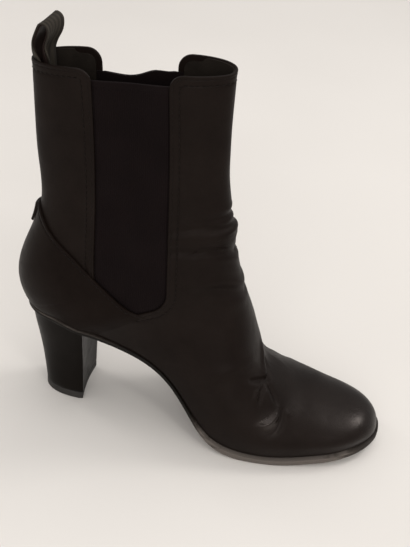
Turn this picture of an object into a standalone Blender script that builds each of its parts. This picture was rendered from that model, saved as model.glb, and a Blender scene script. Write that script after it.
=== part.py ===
"""Heeled ankle boot, left shoe, standing empty on its heel and forefoot.

X runs from the heel to the toe, +Y is the outer (lateral) side and +Z is up. The origin is the
middle of the heel's tread, on the floor. Sizes are in millimetres until a mesh is made.
"""
import math
from collections import namedtuple

import bmesh
import bpy
import numpy as np
from mathutils import Vector
from mathutils.bvhtree import BVHTree

MM = 0.001

# Driving sizes of the last
LENGTH = 240.0
BALL_WIDTH = 82.0
HEEL_HEIGHT = 69.0
INSTEP_HEIGHT = 80.0
COLLAR_HEIGHT = 230.0

# Thicknesses and clearances
GAP = 0.3
WALL = 2.0
GORE_WALL = 1.4
GORE_RECESS = 0.3
COUNTER_THICK = 1.1
STRAP_THICK = 1.5
INSOLE_THICK = 2.0
INSOLE_EASE = 2.5

# The last is a fan of sections: level round the shaft, upright across the toe. Each runs from a base
# point, at the back or under the foot, to a ridge point, at the front or on top. Columns are
# percentages: x of LENGTH, z of COLLAR_HEIGHT, half widths of BALL_WIDTH. "widest" is where on the way
# from base to ridge the section is widest, "crown" its roundness, and "pinch" how far the slack elastic
# caves in.
Shaft = namedtuple("Shaft", "name base_x base_z ridge_x ridge_z medial lateral widest crown pinch")
SHAFT_SECTIONS = (
    Shaft("collar", -8.8, 100.0, 36.9, 104.2, 18.5, 18.5, 0.50, 2.3, 0.45),
    Shaft("shaft_top", -8.4, 86.0, 37.1, 96.7, 18.0, 18.0, 0.50, 2.3, 0.40),
    Shaft("shaft", -7.9, 75.0, 37.3, 89.7, 18.0, 18.0, 0.49, 2.2, 0.28),
    Shaft("ankle", -7.1, 65.3, 37.7, 82.6, 20.0, 20.0, 0.46, 2.2, 0.15),
    Shaft("heel_top", -8.9, 54.3, 38.3, 75.7, 24.5, 24.5, 0.38, 2.2, 0.05),
    Shaft("heel_back", -12.7, 39.6, 39.6, 68.3, 31.5, 31.5, 0.30, 2.2, 0.0),
)

# The foot's base heights are percentages of HEEL_HEIGHT and its ridge heights of INSTEP_HEIGHT.
# The base is the feather line, where the sole meets the upper. Sections run on below it by SKIRT, to be
# trimmed there, and "feather" is the share of the half width that is open at the skirt's lower edge.
Foot = namedtuple("Foot", "name base_x base_z ridge_x ridge_z medial lateral widest crown feather")
FOOT_SECTIONS = (
    Foot("seat_back", -6.8, 103.5, 40.8, 175.0, 35.5, 35.0, 0.34, 2.2, 0.0),
    Foot("seat", 2.5, 103.5, 42.7, 155.0, 36.5, 34.5, 0.36, 2.1, 0.84),
    Foot("waist", 12.1, 92.5, 45.0, 132.5, 34.0, 36.5, 0.42, 2.0, 0.82),
    Foot("arch", 29.6, 62.0, 49.0, 100.0, 39.0, 44.0, 0.47, 2.0, 0.84),
    Foot("ball_back", 40.0, 21.0, 52.9, 71.0, 50.0, 45.5, 0.45, 2.0, 0.86),
    Foot("ball", 50.8, 6.6, 60.6, 49.0, 53.5, 46.5, 0.46, 2.1, 0.86),
    Foot("vamp", 62.5, 6.6, 67.1, 40.6, 49.4, 41.5, 0.50, 2.2, 0.87),
    Foot("toe", 74.2, 11.2, 76.7, 34.4, 40.5, 32.5, 0.57, 2.3, 0.88),
    Foot("tip", 86.9, 17.4, 86.9, 33.8, 33.0, 25.0, 0.62, 2.3, 0.90),
)
SKIRT = 8.0
TOE_FROM = 71.0
TOE_ROUND_PLAN = 2.1
TOE_ROUND_SIDE = 3.2
PINCH_SPREAD = 0.2

# Places of the sections along the fan
ORDER = [row.name for row in SHAFT_SECTIONS + FOOT_SECTIONS]
SEAT_BACK = ORDER.index("seat_back")
SEAT = ORDER.index("seat")
TIP = ORDER.index("tip")
HALF_COLUMNS = 15
CURVE_STEPS = 160
SHAFT_STEPS = 2
FOOT_STEPS = 3
SEAT_STEPS = 5
TIP_STEPS = 6
TIP_GAP = 0.22

# Sole thickness along the boot
SOLE_FORE = 4.5
SOLE_WAIST = 3.4
SOLE_CHANGE = (60.0, 105.0)

# How far the sole's edge stands out from the upper at places along X: close-trimmed at the waist
WeltPlace = namedtuple("WeltPlace", "x margin")
WELT_PLACES = (WeltPlace(5.0, 1.6), WeltPlace(35.0, 0.4), WeltPlace(75.0, 0.4), WeltPlace(110.0, 2.0))

# Places along the sole's length where it is worked out
SOLE_STEP = 0.16
SOLE_BACK_STEPS = 11
SOLE_BACK_GAP = 0.1
SOLE_TOE_STEPS = 12
SOLE_TOE_GAP = 0.06

# Heel levels from the seat down: shares of the drop, back and breast along X, half width
HeelLevel = namedtuple("HeelLevel", "drop back breast half_width")
HEEL_LEVELS = (
    HeelLevel(0.00, -22.6, 15.0, 25.4),
    HeelLevel(0.18, -21.2, 14.6, 23.2),
    HeelLevel(0.45, -18.4, 14.3, 20.2),
    HeelLevel(0.75, -16.0, 14.2, 18.2),
    HeelLevel(1.00, -14.6, 14.2, 17.2),
)
HEEL_ROUND = 2.5
HEEL_ARC_STEPS = 18
HEEL_SEAT_STEPS = 60
TOP_PIECE_THICK = 5.5

# Elastic gore, seen from the side: corners of the U and their rounding radii, below the collar's rim
GORE_BACK_TOP = 13.7
GORE_FRONT_TOP = 55.0
GORE_CORNERS = ((22.5, 106.5, 7.0), (46.5, 89.3, 7.0), (66.4, 98.5, 13.0))
GORE_DROP_MEDIAL = 7.0
GORE_DROP_LATERAL = 12.0
GORE_ABOVE = 40.0
SHOULDER_RADIUS = 8.0
SHOULDER_RUN = 12.0

# Counter, seen from the side: its raised edge from the back seam down to the sole at the waist
COUNTER_EDGE = ((-70.0, 144.0), (-18.0, 141.5), (-8.0, 131.0), (6.4, 122.4), (16.8, 114.3),
                (27.6, 105.6), (44.0, 92.5), (53.0, 85.0), (61.0, 73.5), (67.0, 57.0))
OVERLAY_LIFT = 0.8
OVERLAY_GAP = 0.4
OVERLAY_FRONT = 88.0
OVERLAY_REACH = 70.0
FEATHER_TRIM_STEPS = 160
OVERLAY_TRIM_STEPS = 40

# Strap on the outer side: its middle line, in x and z, from the back seam to the sole
STRAP_LINE = ((-40.0, 136.5), (-24.0, 134.5), (-10.0, 127.5), (4.0, 116.5), (16.0, 103.5),
              (24.5, 87.0), (31.0, 68.0), (35.0, 50.0))
STRAP_WIDTH = 13.0
STRAP_LIFT = 2 * OVERLAY_GAP + COUNTER_THICK
STRAP_WRAP = 3.0
STRAP_ENDS = (0.02, 0.98)
STRAP_STEPS = 25
STRAP_TANGENT_STEP = 0.01

# Buckle and keeper, placed along the strap's middle line as shares of its length
BUCKLE_AT = 0.545
BUCKLE_LENGTH = 23.0
BUCKLE_WIDTH = 20.0
BUCKLE_CORNER = 6.0
BUCKLE_WIRE = 1.3
PRONG_WIRE = 0.8
PRONG_LIFT = 0.2
KEEPER_AT = 0.73
KEEPER_LENGTH = 15.5
KEEPER_WIRE = 1.2

# Pull loop: a folded ribbon inside the back of the collar, its faces to the front and back.
# Its middle line in x and z runs up the back leg and down the front leg.
LOOP_LINE = ((-14.9, 217.0), (-15.2, 226.0), (-16.6, 234.0), (-17.0, 243.0), (-15.0, 249.8), (-11.4, 252.1),
             (-8.2, 250.0), (-7.6, 245.5), (-9.2, 238.5), (-11.2, 231.0), (-11.8, 224.0), (-11.6, 217.0))
LOOP_WIDTH = 10.8
LOOP_THICK = 1.8
LOOP_TOP = 252.1
LOOP_BEND = 2.6
LOOP_TURN = 1.2
LOOP_TILT = 1.2
LOOP_STEPS = 33
LOOP_COLUMNS = 7

LEATHER = (0.017, 0.012, 0.010)
ELASTIC = (0.012, 0.008, 0.009)
SOLE_EDGE = (0.075, 0.058, 0.047)
HEEL_STACK = (0.022, 0.017, 0.014)
RUBBER = (0.030, 0.028, 0.026)
LINING = (0.045, 0.035, 0.028)
GOLD = (0.800, 0.560, 0.220)


def start_scene(name):
    """Empty the scene and give the collections for the boot's pieces and for its cutters."""
    for old in list(bpy.data.objects):
        bpy.data.objects.remove(old, do_unlink=True)
    made = []
    for title in (name, name + "_cutters"):
        collection = bpy.data.collections.new(title)
        bpy.context.scene.collection.children.link(collection)
        made.append(collection)
    return made


PIECES, CUTTERS = start_scene("heeled_ankle_boot")


def material(name, colour, roughness, metallic=0.0):
    """A Principled material of one colour."""
    made = bpy.data.materials.new(name)
    made.use_nodes = True
    shader = made.node_tree.nodes["Principled BSDF"]
    shader.inputs["Base Color"].default_value = (*colour, 1.0)
    shader.inputs["Roughness"].default_value = roughness
    shader.inputs["Metallic"].default_value = metallic
    return made


def spline(knots, values):
    """A natural cubic spline through the values, as a function of one number."""
    knots = np.asarray(knots, float)
    values = np.asarray(values, float)
    count = len(knots)
    step = np.diff(knots)
    slope = np.diff(values) / step
    matrix = np.eye(count)
    right = np.zeros(count)
    for i in range(1, count - 1):
        matrix[i, i - 1:i + 2] = step[i - 1], 2 * (step[i - 1] + step[i]), step[i]
        right[i] = 6 * (slope[i] - slope[i - 1])
    bend = np.linalg.solve(matrix, right)

    def at(t):
        i = int(np.clip(np.searchsorted(knots, t) - 1, 0, count - 2))
        h = step[i]
        a = (knots[i + 1] - t) / h
        b = (t - knots[i]) / h
        curve = ((a ** 3 - a) * bend[i] + (b ** 3 - b) * bend[i + 1]) * h * h / 6
        return a * values[i] + b * values[i + 1] + curve

    return at


def last_columns():
    """Each column of the last in millimetres, as a spline along the fan."""
    rows = []
    for row in SHAFT_SECTIONS:
        units = {"unit_base": COLLAR_HEIGHT, "unit_ridge": COLLAR_HEIGHT, "skirt": 0.0}
        rows.append({**row._asdict(), **units})
    for row in FOOT_SECTIONS:
        units = {"unit_base": HEEL_HEIGHT, "unit_ridge": INSTEP_HEIGHT, "skirt": SKIRT}
        rows.append({**row._asdict(), "pinch": 0.0, **units})
    sizes = {
        "base_x": [row["base_x"] * LENGTH / 100 for row in rows],
        "base_z": [row["base_z"] * row["unit_base"] / 100 - row["skirt"] for row in rows],
        "ridge_x": [row["ridge_x"] * LENGTH / 100 for row in rows],
        "ridge_z": [row["ridge_z"] * row["unit_ridge"] / 100 for row in rows],
        "medial": [row["medial"] * BALL_WIDTH / 100 for row in rows],
        "lateral": [row["lateral"] * BALL_WIDTH / 100 for row in rows],
    }
    for plain in ("widest", "crown", "pinch"):
        sizes[plain] = [row[plain] for row in rows]
    columns = {name: spline(range(len(rows)), values) for name, values in sizes.items()}
    open_rows = range(SEAT, TIP + 1)
    columns["feather"] = spline(open_rows, [rows[i]["feather"] for i in open_rows])
    return columns


LAST = last_columns()


def base_point(t):
    """Where a section starts, at the back or under the foot, as x and z."""
    return np.array((LAST["base_x"](t), LAST["base_z"](t)))


FEATHER_X = [row.base_x * LENGTH / 100 for row in FOOT_SECTIONS]
FEATHER_LINE = spline(FEATHER_X, [row.base_z * HEEL_HEIGHT / 100 for row in FOOT_SECTIONS])


def profile_height(x):
    """Height of the feather line at a place along X, level past its ends."""
    return float(FEATHER_LINE(np.clip(x, FEATHER_X[0], FEATHER_X[-1])))


def toe_taper(t):
    """How far the toe's rounding leaves the plan and the side of a section."""
    if t <= SEAT:
        return 1.0, 1.0
    start = TOE_FROM * LENGTH / 100
    end = base_point(TIP)[0]
    reach = float(np.clip((base_point(t)[0] - start) / (end - start), 0.0, 0.9999))
    plan = (1 - reach ** TOE_ROUND_PLAN) ** (1 / TOE_ROUND_PLAN)
    side = (1 - reach ** TOE_ROUND_SIDE) ** (1 / TOE_ROUND_SIDE)
    return plan, side


def feather_share(t):
    """Share of the half width that is open underneath; the seat closes in a half round at the back."""
    if t <= SEAT_BACK:
        return 0.0
    if t < SEAT:
        front = base_point(SEAT)[0]
        reach = (front - base_point(t)[0]) / (front - base_point(SEAT_BACK)[0])
        return LAST["feather"](SEAT) * math.sqrt(max(0.0, 1 - reach * reach))
    return LAST["feather"](t)


def half_curve(t, side):
    """One side of a section as a fine polyline from its foot edge to its ridge."""
    plan, rise = toe_taper(t)
    base = np.array((LAST["base_x"](t), 0.0, LAST["base_z"](t)))
    up = np.array((LAST["ridge_x"](t), 0.0, LAST["ridge_z"](t))) - base
    width = (LAST["medial"](t) if side < 0 else LAST["lateral"](t)) * plan
    crown = LAST["crown"](t)
    widest = LAST["widest"](t)
    depth = widest / (1 - feather_share(t) ** crown) ** (1 / crown)
    low = math.acos(min(1.0, (widest / depth) ** (crown / 2)))
    points = []
    for angle in np.linspace(low, math.pi - 1e-6, CURVE_STEPS):
        across = math.sin(angle) ** (2 / crown)
        if angle < math.pi / 2:
            along = widest - depth * math.cos(angle) ** (2 / crown)
        else:
            along = widest + (1 - widest) * abs(math.cos(angle)) ** (2 / crown)
        caved = 1 - LAST["pinch"](t) * math.exp(-((along - 0.5) / PINCH_SPREAD) ** 2)
        points.append(base + along * rise * up + np.array((0.0, side * across * caved * width, 0.0)))
    return np.array(points)


def half_section(t, side, count):
    """One side of a section as a few points, evenly spaced."""
    points = half_curve(t, side)
    run = np.concatenate(((0.0,), np.cumsum(np.linalg.norm(np.diff(points, axis=0), axis=1))))
    even = np.linspace(0.0, run[-1], count + 1)
    return np.stack([np.interp(even, run, points[:, k]) for k in range(3)], axis=1)


def section(t, count=HALF_COLUMNS):
    """A whole section: inner foot edge, over the ridge, to the outer foot edge."""
    inner = half_section(t, -1, count)
    outer = half_section(t, 1, count)
    middle = (inner[-1] + outer[-1]) / 2
    return np.vstack((inner[:-1], middle, outer[-2::-1]))


def stations(first=0, final=TIP):
    """Places along the fan where sections are taken, closer where the heel and the toe turn."""
    places = []
    for row in range(first, final):
        steps = SHAFT_STEPS if row < SEAT_BACK - 2 else FOOT_STEPS
        shares = np.linspace(0.0, 1.0, steps, endpoint=False)
        if row == SEAT_BACK:
            shares = np.linspace(0.0, 1.0, SEAT_STEPS, endpoint=False) ** 2
        if row == TIP - 1:
            shares = 1 - np.linspace(1.0, TIP_GAP, TIP_STEPS) ** 2
        places.extend(row + share for share in shares)
    if final < TIP:
        places.append(float(final))
    return places


def add_object(name, mesh, finish, collection=PIECES):
    """Link a mesh as an object of the boot."""
    made = bpy.data.objects.new(name, mesh)
    collection.objects.link(made)
    if finish is not None:
        mesh.materials.append(finish)
        mesh.shade_smooth()
        mesh.set_sharp_from_angle(angle=math.radians(40))
    return made


def mesh_from_bmesh(name, bm):
    """Finish a bmesh with outward faces as a mesh in metres."""
    bmesh.ops.recalc_face_normals(bm, faces=bm.faces)
    bmesh.ops.scale(bm, vec=(MM, MM, MM), verts=bm.verts)
    mesh = bpy.data.meshes.new(name)
    bm.to_mesh(mesh)
    bm.free()
    return mesh


def loft(rings, ring_closed):
    """A bmesh through rings of points, with faces between neighbours."""
    bm = bmesh.new()
    rows = [[bm.verts.new(point) for point in ring] for ring in rings]
    for lower, upper in zip(rows, rows[1:]):
        span = len(lower) if ring_closed else len(lower) - 1
        for i in range(span):
            j = (i + 1) % len(lower)
            bm.faces.new((lower[i], lower[j], upper[j], upper[i]))
    return bm, rows


def skin_bmesh(first=0, final=TIP):
    """The outside of the upper as an open surface, welded along the back seam and closed at the toe."""
    places = stations(first, final)
    bm, rows = loft([section(t) for t in places], ring_closed=False)
    if final == TIP:
        bm.faces.new(rows[-1])
    bmesh.ops.remove_doubles(bm, verts=bm.verts, dist=0.01)
    bmesh.ops.recalc_face_normals(bm, faces=bm.faces)
    bmesh.ops.triangulate(bm, faces=bm.faces)
    outward = max(bm.faces, key=lambda face: face.calc_center_median().y)
    if outward.normal.y < 0:
        bmesh.ops.reverse_faces(bm, faces=bm.faces)
    return bm


def skin_shell(name, finish, lift, thickness, first=0, final=TIP, behind=LENGTH):
    """A shell on the upper's own surface, of the part behind an x: lifted off it, then thickened outwards,
    or inwards if the thickness is negative."""
    bm = skin_bmesh(first, final)
    ahead = [face for face in bm.faces if face.calc_center_median().x > behind]
    bmesh.ops.delete(bm, geom=ahead, context="FACES")
    bmesh.ops.scale(bm, vec=(MM, MM, MM), verts=bm.verts)
    mesh = bpy.data.meshes.new(name)
    bm.to_mesh(mesh)
    bm.free()
    shell = add_object(name, mesh, finish)
    if lift:
        raised = shell.modifiers.new("lift", "DISPLACE")
        raised.strength = lift * MM
        raised.mid_level = 0.0
    wall = shell.modifiers.new("wall", "SOLIDIFY")
    wall.thickness = abs(thickness) * MM
    wall.offset = math.copysign(1.0, thickness)
    wall.use_even_offset = True
    return shell


def prism(name, outline, y_from, y_to):
    """A cutter: an outline in x and z, drawn out along Y."""
    bm = bmesh.new()
    face = bm.faces.new([bm.verts.new((x, y_from, z)) for x, z in outline])
    drawn = bmesh.ops.extrude_face_region(bm, geom=[face])
    moved = [item for item in drawn["geom"] if isinstance(item, bmesh.types.BMVert)]
    bmesh.ops.translate(bm, vec=(0.0, y_to - y_from, 0.0), verts=moved)
    cutter = add_object(name, mesh_from_bmesh(name, bm), None, CUTTERS)
    cutter.hide_render = True
    cutter.display_type = "WIRE"
    return cutter


def cut(piece, cutter, operation):
    """Add a boolean to a piece."""
    step = piece.modifiers.new(operation.lower(), "BOOLEAN")
    step.operation = operation
    step.object = cutter


def rounded(corners, steps=7):
    """An outline with each corner (x, z, radius) turned by an arc."""
    outline = []
    count = len(corners)
    for i, (x, z, radius) in enumerate(corners):
        here = Vector((x, z))
        if not radius:
            outline.append((x, z))
            continue
        back = (Vector(corners[i - 1][:2]) - here).normalized()
        ahead = (Vector(corners[(i + 1) % count][:2]) - here).normalized()
        half = back.angle(ahead) / 2
        centre = here + (back + ahead).normalized() * radius / math.sin(half)
        first = (here + back * radius / math.tan(half) - centre).normalized()
        last = (here + ahead * radius / math.tan(half) - centre).normalized()
        for share in np.linspace(0.0, 1.0, steps):
            outline.append(tuple(centre + first.slerp(last, share) * radius))
    return outline


def inset(outline, distance):
    """An outline moved inwards by a distance, for an outline that runs against the clock or with it."""
    points = np.array(outline)
    ahead = np.roll(points, -1, axis=0)
    area = np.sum(points[:, 0] * ahead[:, 1] - ahead[:, 0] * points[:, 1])
    edge = ahead - points
    edge /= np.linalg.norm(edge, axis=1)[:, None]
    normal = np.stack((-edge[:, 1], edge[:, 0]), axis=1) * math.copysign(1.0, area)
    before = np.roll(normal, 1, axis=0)
    mitre = normal + before
    mitre /= (1 + np.sum(normal * before, axis=1))[:, None]
    return points + mitre * distance


def rim_height(x):
    """Height of the collar's rim along X."""
    back = base_point(0)
    front = np.array((LAST["ridge_x"](0), LAST["ridge_z"](0)))
    return back[1] + (x - back[0]) / (front[0] - back[0]) * (front[1] - back[1])


def gore_outline():
    """The notch for the elastic, with the leather's shoulders rounded at the rim."""
    above = COLLAR_HEIGHT + GORE_ABOVE
    left = GORE_BACK_TOP - SHOULDER_RUN
    right = GORE_FRONT_TOP + SHOULDER_RUN
    corners = [
        (left, above, 0.0),
        (left, rim_height(left) + GAP, 0.0),
        (GORE_BACK_TOP, rim_height(GORE_BACK_TOP) + GAP, SHOULDER_RADIUS),
        *GORE_CORNERS,
        (GORE_FRONT_TOP, rim_height(GORE_FRONT_TOP) + GAP, SHOULDER_RADIUS),
        (right, rim_height(right) + GAP, 0.0),
        (right, above, 0.0),
    ]
    return rounded(corners)


def gore_panel_outline(drop):
    """The elastic itself, inside its notch and lower than the rim by a drop."""
    back_low = GORE_CORNERS[0]
    front_low = GORE_CORNERS[-1]
    back_z = rim_height(GORE_BACK_TOP) - drop
    front_z = rim_height(GORE_FRONT_TOP) - drop

    def along(top_x, low, z):
        top_z = rim_height(top_x) + GAP
        return top_x + (low[0] - top_x) * (top_z - z) / (top_z - low[1])

    corners = [
        (along(GORE_BACK_TOP, back_low, back_z), back_z, 0.0),
        *GORE_CORNERS,
        (along(GORE_FRONT_TOP, front_low, front_z), front_z, 0.0),
    ]
    return inset(rounded(corners), GAP)


def sole_thickness(x):
    """Thin under the seat and waist, full under the forefoot, with a soft change between."""
    share = float(np.clip((x - SOLE_CHANGE[0]) / (SOLE_CHANGE[1] - SOLE_CHANGE[0]), 0.0, 1.0))
    return SOLE_WAIST + (SOLE_FORE - SOLE_WAIST) * share * share * (3 - 2 * share)


def feather_gap(t, share):
    """How far a section's start (share 0) or its ridge (share 1) lies above the feather line."""
    x, _, z = half_curve(t, 1)[-1 if share else 0]
    return z - profile_height(x)


def feather_end(low, high, share):
    """Place between two rows where the section's start or its ridge crosses the feather line."""
    rising = feather_gap(high, share) > feather_gap(low, share)
    for _ in range(30):
        middle = (low + high) / 2
        if (feather_gap(middle, share) > 0) == rising:
            high = middle
        else:
            low = middle
    return (low + high) / 2


SOLE_BACK = feather_end(SEAT_BACK - 1, SEAT_BACK, 0)
SOLE_FRONT = feather_end(TIP - 1, TIP, 1)


def sole_stations():
    """Places along the sole, from the back of the seat to the toe, closer at both ends."""
    back_shares = np.linspace(SOLE_BACK_GAP, 1.0, SOLE_BACK_STEPS, endpoint=False) ** 2
    back = SOLE_BACK + back_shares * (SEAT - SOLE_BACK)
    middle = np.arange(SEAT, TIP - 1, SOLE_STEP)
    toe_shares = np.linspace(1.0, SOLE_TOE_GAP, SOLE_TOE_STEPS) ** 2
    toe = SOLE_FRONT - toe_shares * (SOLE_FRONT - TIP + 1)
    return np.concatenate((back, middle, toe))


def foot_edge(t, side):
    """Plan place where one side of a section crosses the feather line."""
    curve = half_curve(t, side)
    above = np.array([z - profile_height(x) for x, _, z in curve])
    i = int(np.nonzero(above < 0)[0][-1])
    share = above[i] / (above[i] - above[i + 1])
    return (curve[i] + (curve[i + 1] - curve[i]) * share)[:2]


def welt_margin(x):
    """How far the outsole stands out from the upper at places along X."""
    return np.interp(x, [place.x for place in WELT_PLACES], [place.margin for place in WELT_PLACES])


def insole_margin(x):
    """The insole lies inside the upper's wall, by the same distance all along."""
    return np.full_like(x, -(WALL + INSOLE_EASE))


def foot_edges(places, margin_at):
    """Inner and outer edges of the sole in plan, moved out from the upper's edge by a margin."""
    edges = []
    for side in (-1, 1):
        line = np.array([foot_edge(t, side) for t in places])
        tangent = np.gradient(line, axis=0)
        tangent /= np.linalg.norm(tangent, axis=1)[:, None]
        normal = np.stack((-tangent[:, 1], tangent[:, 0]), axis=1) * side
        edges.append(line + normal * margin_at(line[:, 0])[:, None])
    return edges


def plate(name, margin_at, top_of, bottom_of):
    """A plate along the bottom of the last, with an outline and a top and a bottom height along X."""
    places = sole_stations()
    inner, outer = foot_edges(places, margin_at)
    rings = []
    for (inner_x, inner_y), (outer_x, outer_y) in zip(inner, outer):
        rings.append((
            (inner_x, inner_y, top_of(inner_x)),
            (outer_x, outer_y, top_of(outer_x)),
            (outer_x, outer_y, bottom_of(outer_x)),
            (inner_x, inner_y, bottom_of(inner_x)),
        ))
    bm, rows = loft(rings, ring_closed=True)
    bm.faces.new(rows[0])
    bm.faces.new(rows[-1])
    return mesh_from_bmesh(name, bm)


def sole_top(x):
    return profile_height(x) - GAP


def sole_bottom(x):
    return max(0.0, profile_height(x) - sole_thickness(x))


def make_outsole():
    """Outsole over the whole length, with the arch, the toe spring and a flat tread at the ball."""
    finish = material("sole_leather", SOLE_EDGE, 0.6)
    add_object("outsole", plate("outsole", welt_margin, sole_top, sole_bottom), finish)


def make_insole():
    """Insole inside the upper's wall."""
    finish = material("insole_lining", LINING, 0.8)

    def top(x):
        return profile_height(x) + INSOLE_THICK

    add_object("insole", plate("insole", insole_margin, top, profile_height), finish)


def heel_ring(level):
    """A heel level in plan: round at the back, straight across at the breast."""
    ring = []
    for angle in np.linspace(-math.pi / 2, math.pi / 2, HEEL_ARC_STEPS):
        reach = math.cos(angle) ** (2 / HEEL_ROUND)
        across = math.copysign(abs(math.sin(angle)) ** (2 / HEEL_ROUND), angle)
        ring.append((level.breast - (level.breast - level.back) * reach, across * level.half_width))
    return ring


def make_heel():
    """Heel block, cut to the sole that it carries, and the top piece that it stands on."""
    floor = TOP_PIECE_THICK + GAP
    rings = []
    for level in HEEL_LEVELS:
        height = HEEL_HEIGHT + (floor - HEEL_HEIGHT) * level.drop
        rings.append([(x, y, height) for x, y in heel_ring(level)])
    bm, rows = loft(rings, ring_closed=True)
    bm.faces.new(rows[0])
    bm.faces.new(rows[-1])
    finish = material("heel_leather", HEEL_STACK, 0.35)
    heel = add_object("heel_block", mesh_from_bmesh("heel_block", bm), finish)
    reach = HEEL_HEIGHT
    seat = [(x, sole_bottom(x) - GAP) for x in np.linspace(-reach, reach, HEEL_SEAT_STEPS)]
    above = prism("seat_trim", [*seat, (reach, 2 * reach), (-reach, 2 * reach)], -reach, reach)
    cut(heel, above, "DIFFERENCE")

    tread = heel_ring(HEEL_LEVELS[-1])
    bm, rows = loft([[(x, y, z) for x, y in tread] for z in (0.0, TOP_PIECE_THICK)], ring_closed=True)
    bm.faces.new(rows[0])
    bm.faces.new(rows[-1])
    add_object("top_piece", mesh_from_bmesh("top_piece", bm), material("tread_rubber", RUBBER, 0.7))


def bottom_line(from_x, to_x, lift, steps):
    """Points along the feather line, lifted, for the lower edge of the upper or an overlay."""
    return [(x, profile_height(x) + lift) for x in np.linspace(from_x, to_x, steps)]


def make_upper():
    """Hollow upper, open at the collar, underneath and at the two gores, and its elastic panels."""
    upper = skin_shell("upper", material("upper_leather", LEATHER, 0.38), 0.0, -WALL)
    reach = BALL_WIDTH
    edge = bottom_line(-LENGTH, LENGTH, 0.0, FEATHER_TRIM_STEPS)
    under = [*edge, (LENGTH, -LENGTH), (-LENGTH, -LENGTH)]
    cut(upper, prism("feather_trim", under, -reach, reach), "DIFFERENCE")
    cut(upper, prism("gore_notch", gore_outline(), -reach, reach), "DIFFERENCE")
    elastic = material("gore_elastic", ELASTIC, 0.85)
    panels = (("gore_medial", GORE_DROP_MEDIAL, -reach, 0.0), ("gore_lateral", GORE_DROP_LATERAL, 0.0, reach))
    for name, drop, near, far in panels:
        panel = skin_shell(name, elastic, -GORE_RECESS, -GORE_WALL, 0, SEAT)
        cut(panel, prism(name + "_shape", gore_panel_outline(drop), near, far), "INTERSECT")


def make_counter():
    """Counter round the heel, proud of the upper, with its raised edge running down to the waist."""
    counter = skin_shell("counter", material("counter_leather", LEATHER, 0.34), OVERLAY_GAP, COUNTER_THICK,
                         ORDER.index("shaft"), ORDER.index("ball_back"), OVERLAY_FRONT)
    lower = bottom_line(OVERLAY_REACH, -OVERLAY_REACH, OVERLAY_LIFT, OVERLAY_TRIM_STEPS)
    outline = [*COUNTER_EDGE, *lower]
    cut(counter, prism("counter_shape", outline, -BALL_WIDTH, BALL_WIDTH), "INTERSECT")


def strap_course():
    """The strap's middle line as a smooth function of its share of length, and that length."""
    points = np.array(STRAP_LINE)
    run = np.concatenate(((0.0,), np.cumsum(np.linalg.norm(np.diff(points, axis=0), axis=1))))
    along_x = spline(run / run[-1], points[:, 0])
    along_z = spline(run / run[-1], points[:, 1])
    return (lambda share: np.array((along_x(share), along_z(share)))), run[-1]


STRAP_AT, STRAP_RUN = strap_course()


def strap_frame(share):
    """Middle of the strap, its direction and its upward normal, in x and z."""
    tangent = STRAP_AT(share + STRAP_TANGENT_STEP) - STRAP_AT(share - STRAP_TANGENT_STEP)
    tangent /= np.linalg.norm(tangent)
    return STRAP_AT(share), tangent, np.array((-tangent[1], tangent[0]))


def make_strap():
    """Strap round the outside of the heel, over the counter, from the back seam to the sole."""
    strap = skin_shell("strap", material("strap_leather", LEATHER, 0.34), STRAP_LIFT, STRAP_THICK,
                       ORDER.index("shaft"), ORDER.index("ball_back"), OVERLAY_FRONT)
    upper_edge = []
    lower_edge = []
    for share in np.linspace(*STRAP_ENDS, STRAP_STEPS):
        middle, _, normal = strap_frame(share)
        upper_edge.append(middle + normal * STRAP_WIDTH / 2)
        lower_edge.append(middle - normal * STRAP_WIDTH / 2)
    band = prism("strap_shape", [*upper_edge, *lower_edge[::-1]], -STRAP_WRAP, BALL_WIDTH)
    cut(strap, band, "INTERSECT")
    lower = bottom_line(OVERLAY_REACH, -OVERLAY_REACH, OVERLAY_LIFT, OVERLAY_TRIM_STEPS)
    above = [(-OVERLAY_REACH, COLLAR_HEIGHT), (OVERLAY_REACH, COLLAR_HEIGHT), *lower]
    cut(strap, prism("strap_end", above, -BALL_WIDTH, LENGTH), "INTERSECT")


def outer_surface():
    """A search tree of the upper's skin, for seating pieces on its outer side."""
    bm = skin_bmesh()
    tree = BVHTree.FromBMesh(bm)
    bm.free()
    return tree


SKIN = outer_surface()


def on_outer_side(x, z, lift):
    """The point over (x, z) on the outer side, lifted along the skin's normal."""
    spot, normal, _, _ = SKIN.ray_cast(Vector((x, 2 * BALL_WIDTH, z)), Vector((0.0, -1.0, 0.0)))
    return spot + normal * lift


def on_strap(share, along, across, lift):
    """A point on the strap's outside, from its place on the middle line and local offsets."""
    middle, tangent, normal = strap_frame(share)
    x, z = middle + tangent * along + normal * across
    return on_outer_side(x, z, STRAP_LIFT + STRAP_THICK + OVERLAY_GAP + lift)


def wire(name, points, radius, finish, closed):
    """A bent metal wire through points, with filled ends."""
    data = bpy.data.curves.new(name, "CURVE")
    data.dimensions = "3D"
    data.bevel_depth = radius * MM
    data.bevel_resolution = 2
    data.use_fill_caps = True
    line = data.splines.new("POLY")
    line.points.add(len(points) - 1)
    for slot, point in zip(line.points, points):
        slot.co = (*(Vector(point) * MM), 1.0)
    line.use_cyclic_u = closed
    data.materials.append(finish)
    made = bpy.data.objects.new(name, data)
    PIECES.objects.link(made)


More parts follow.
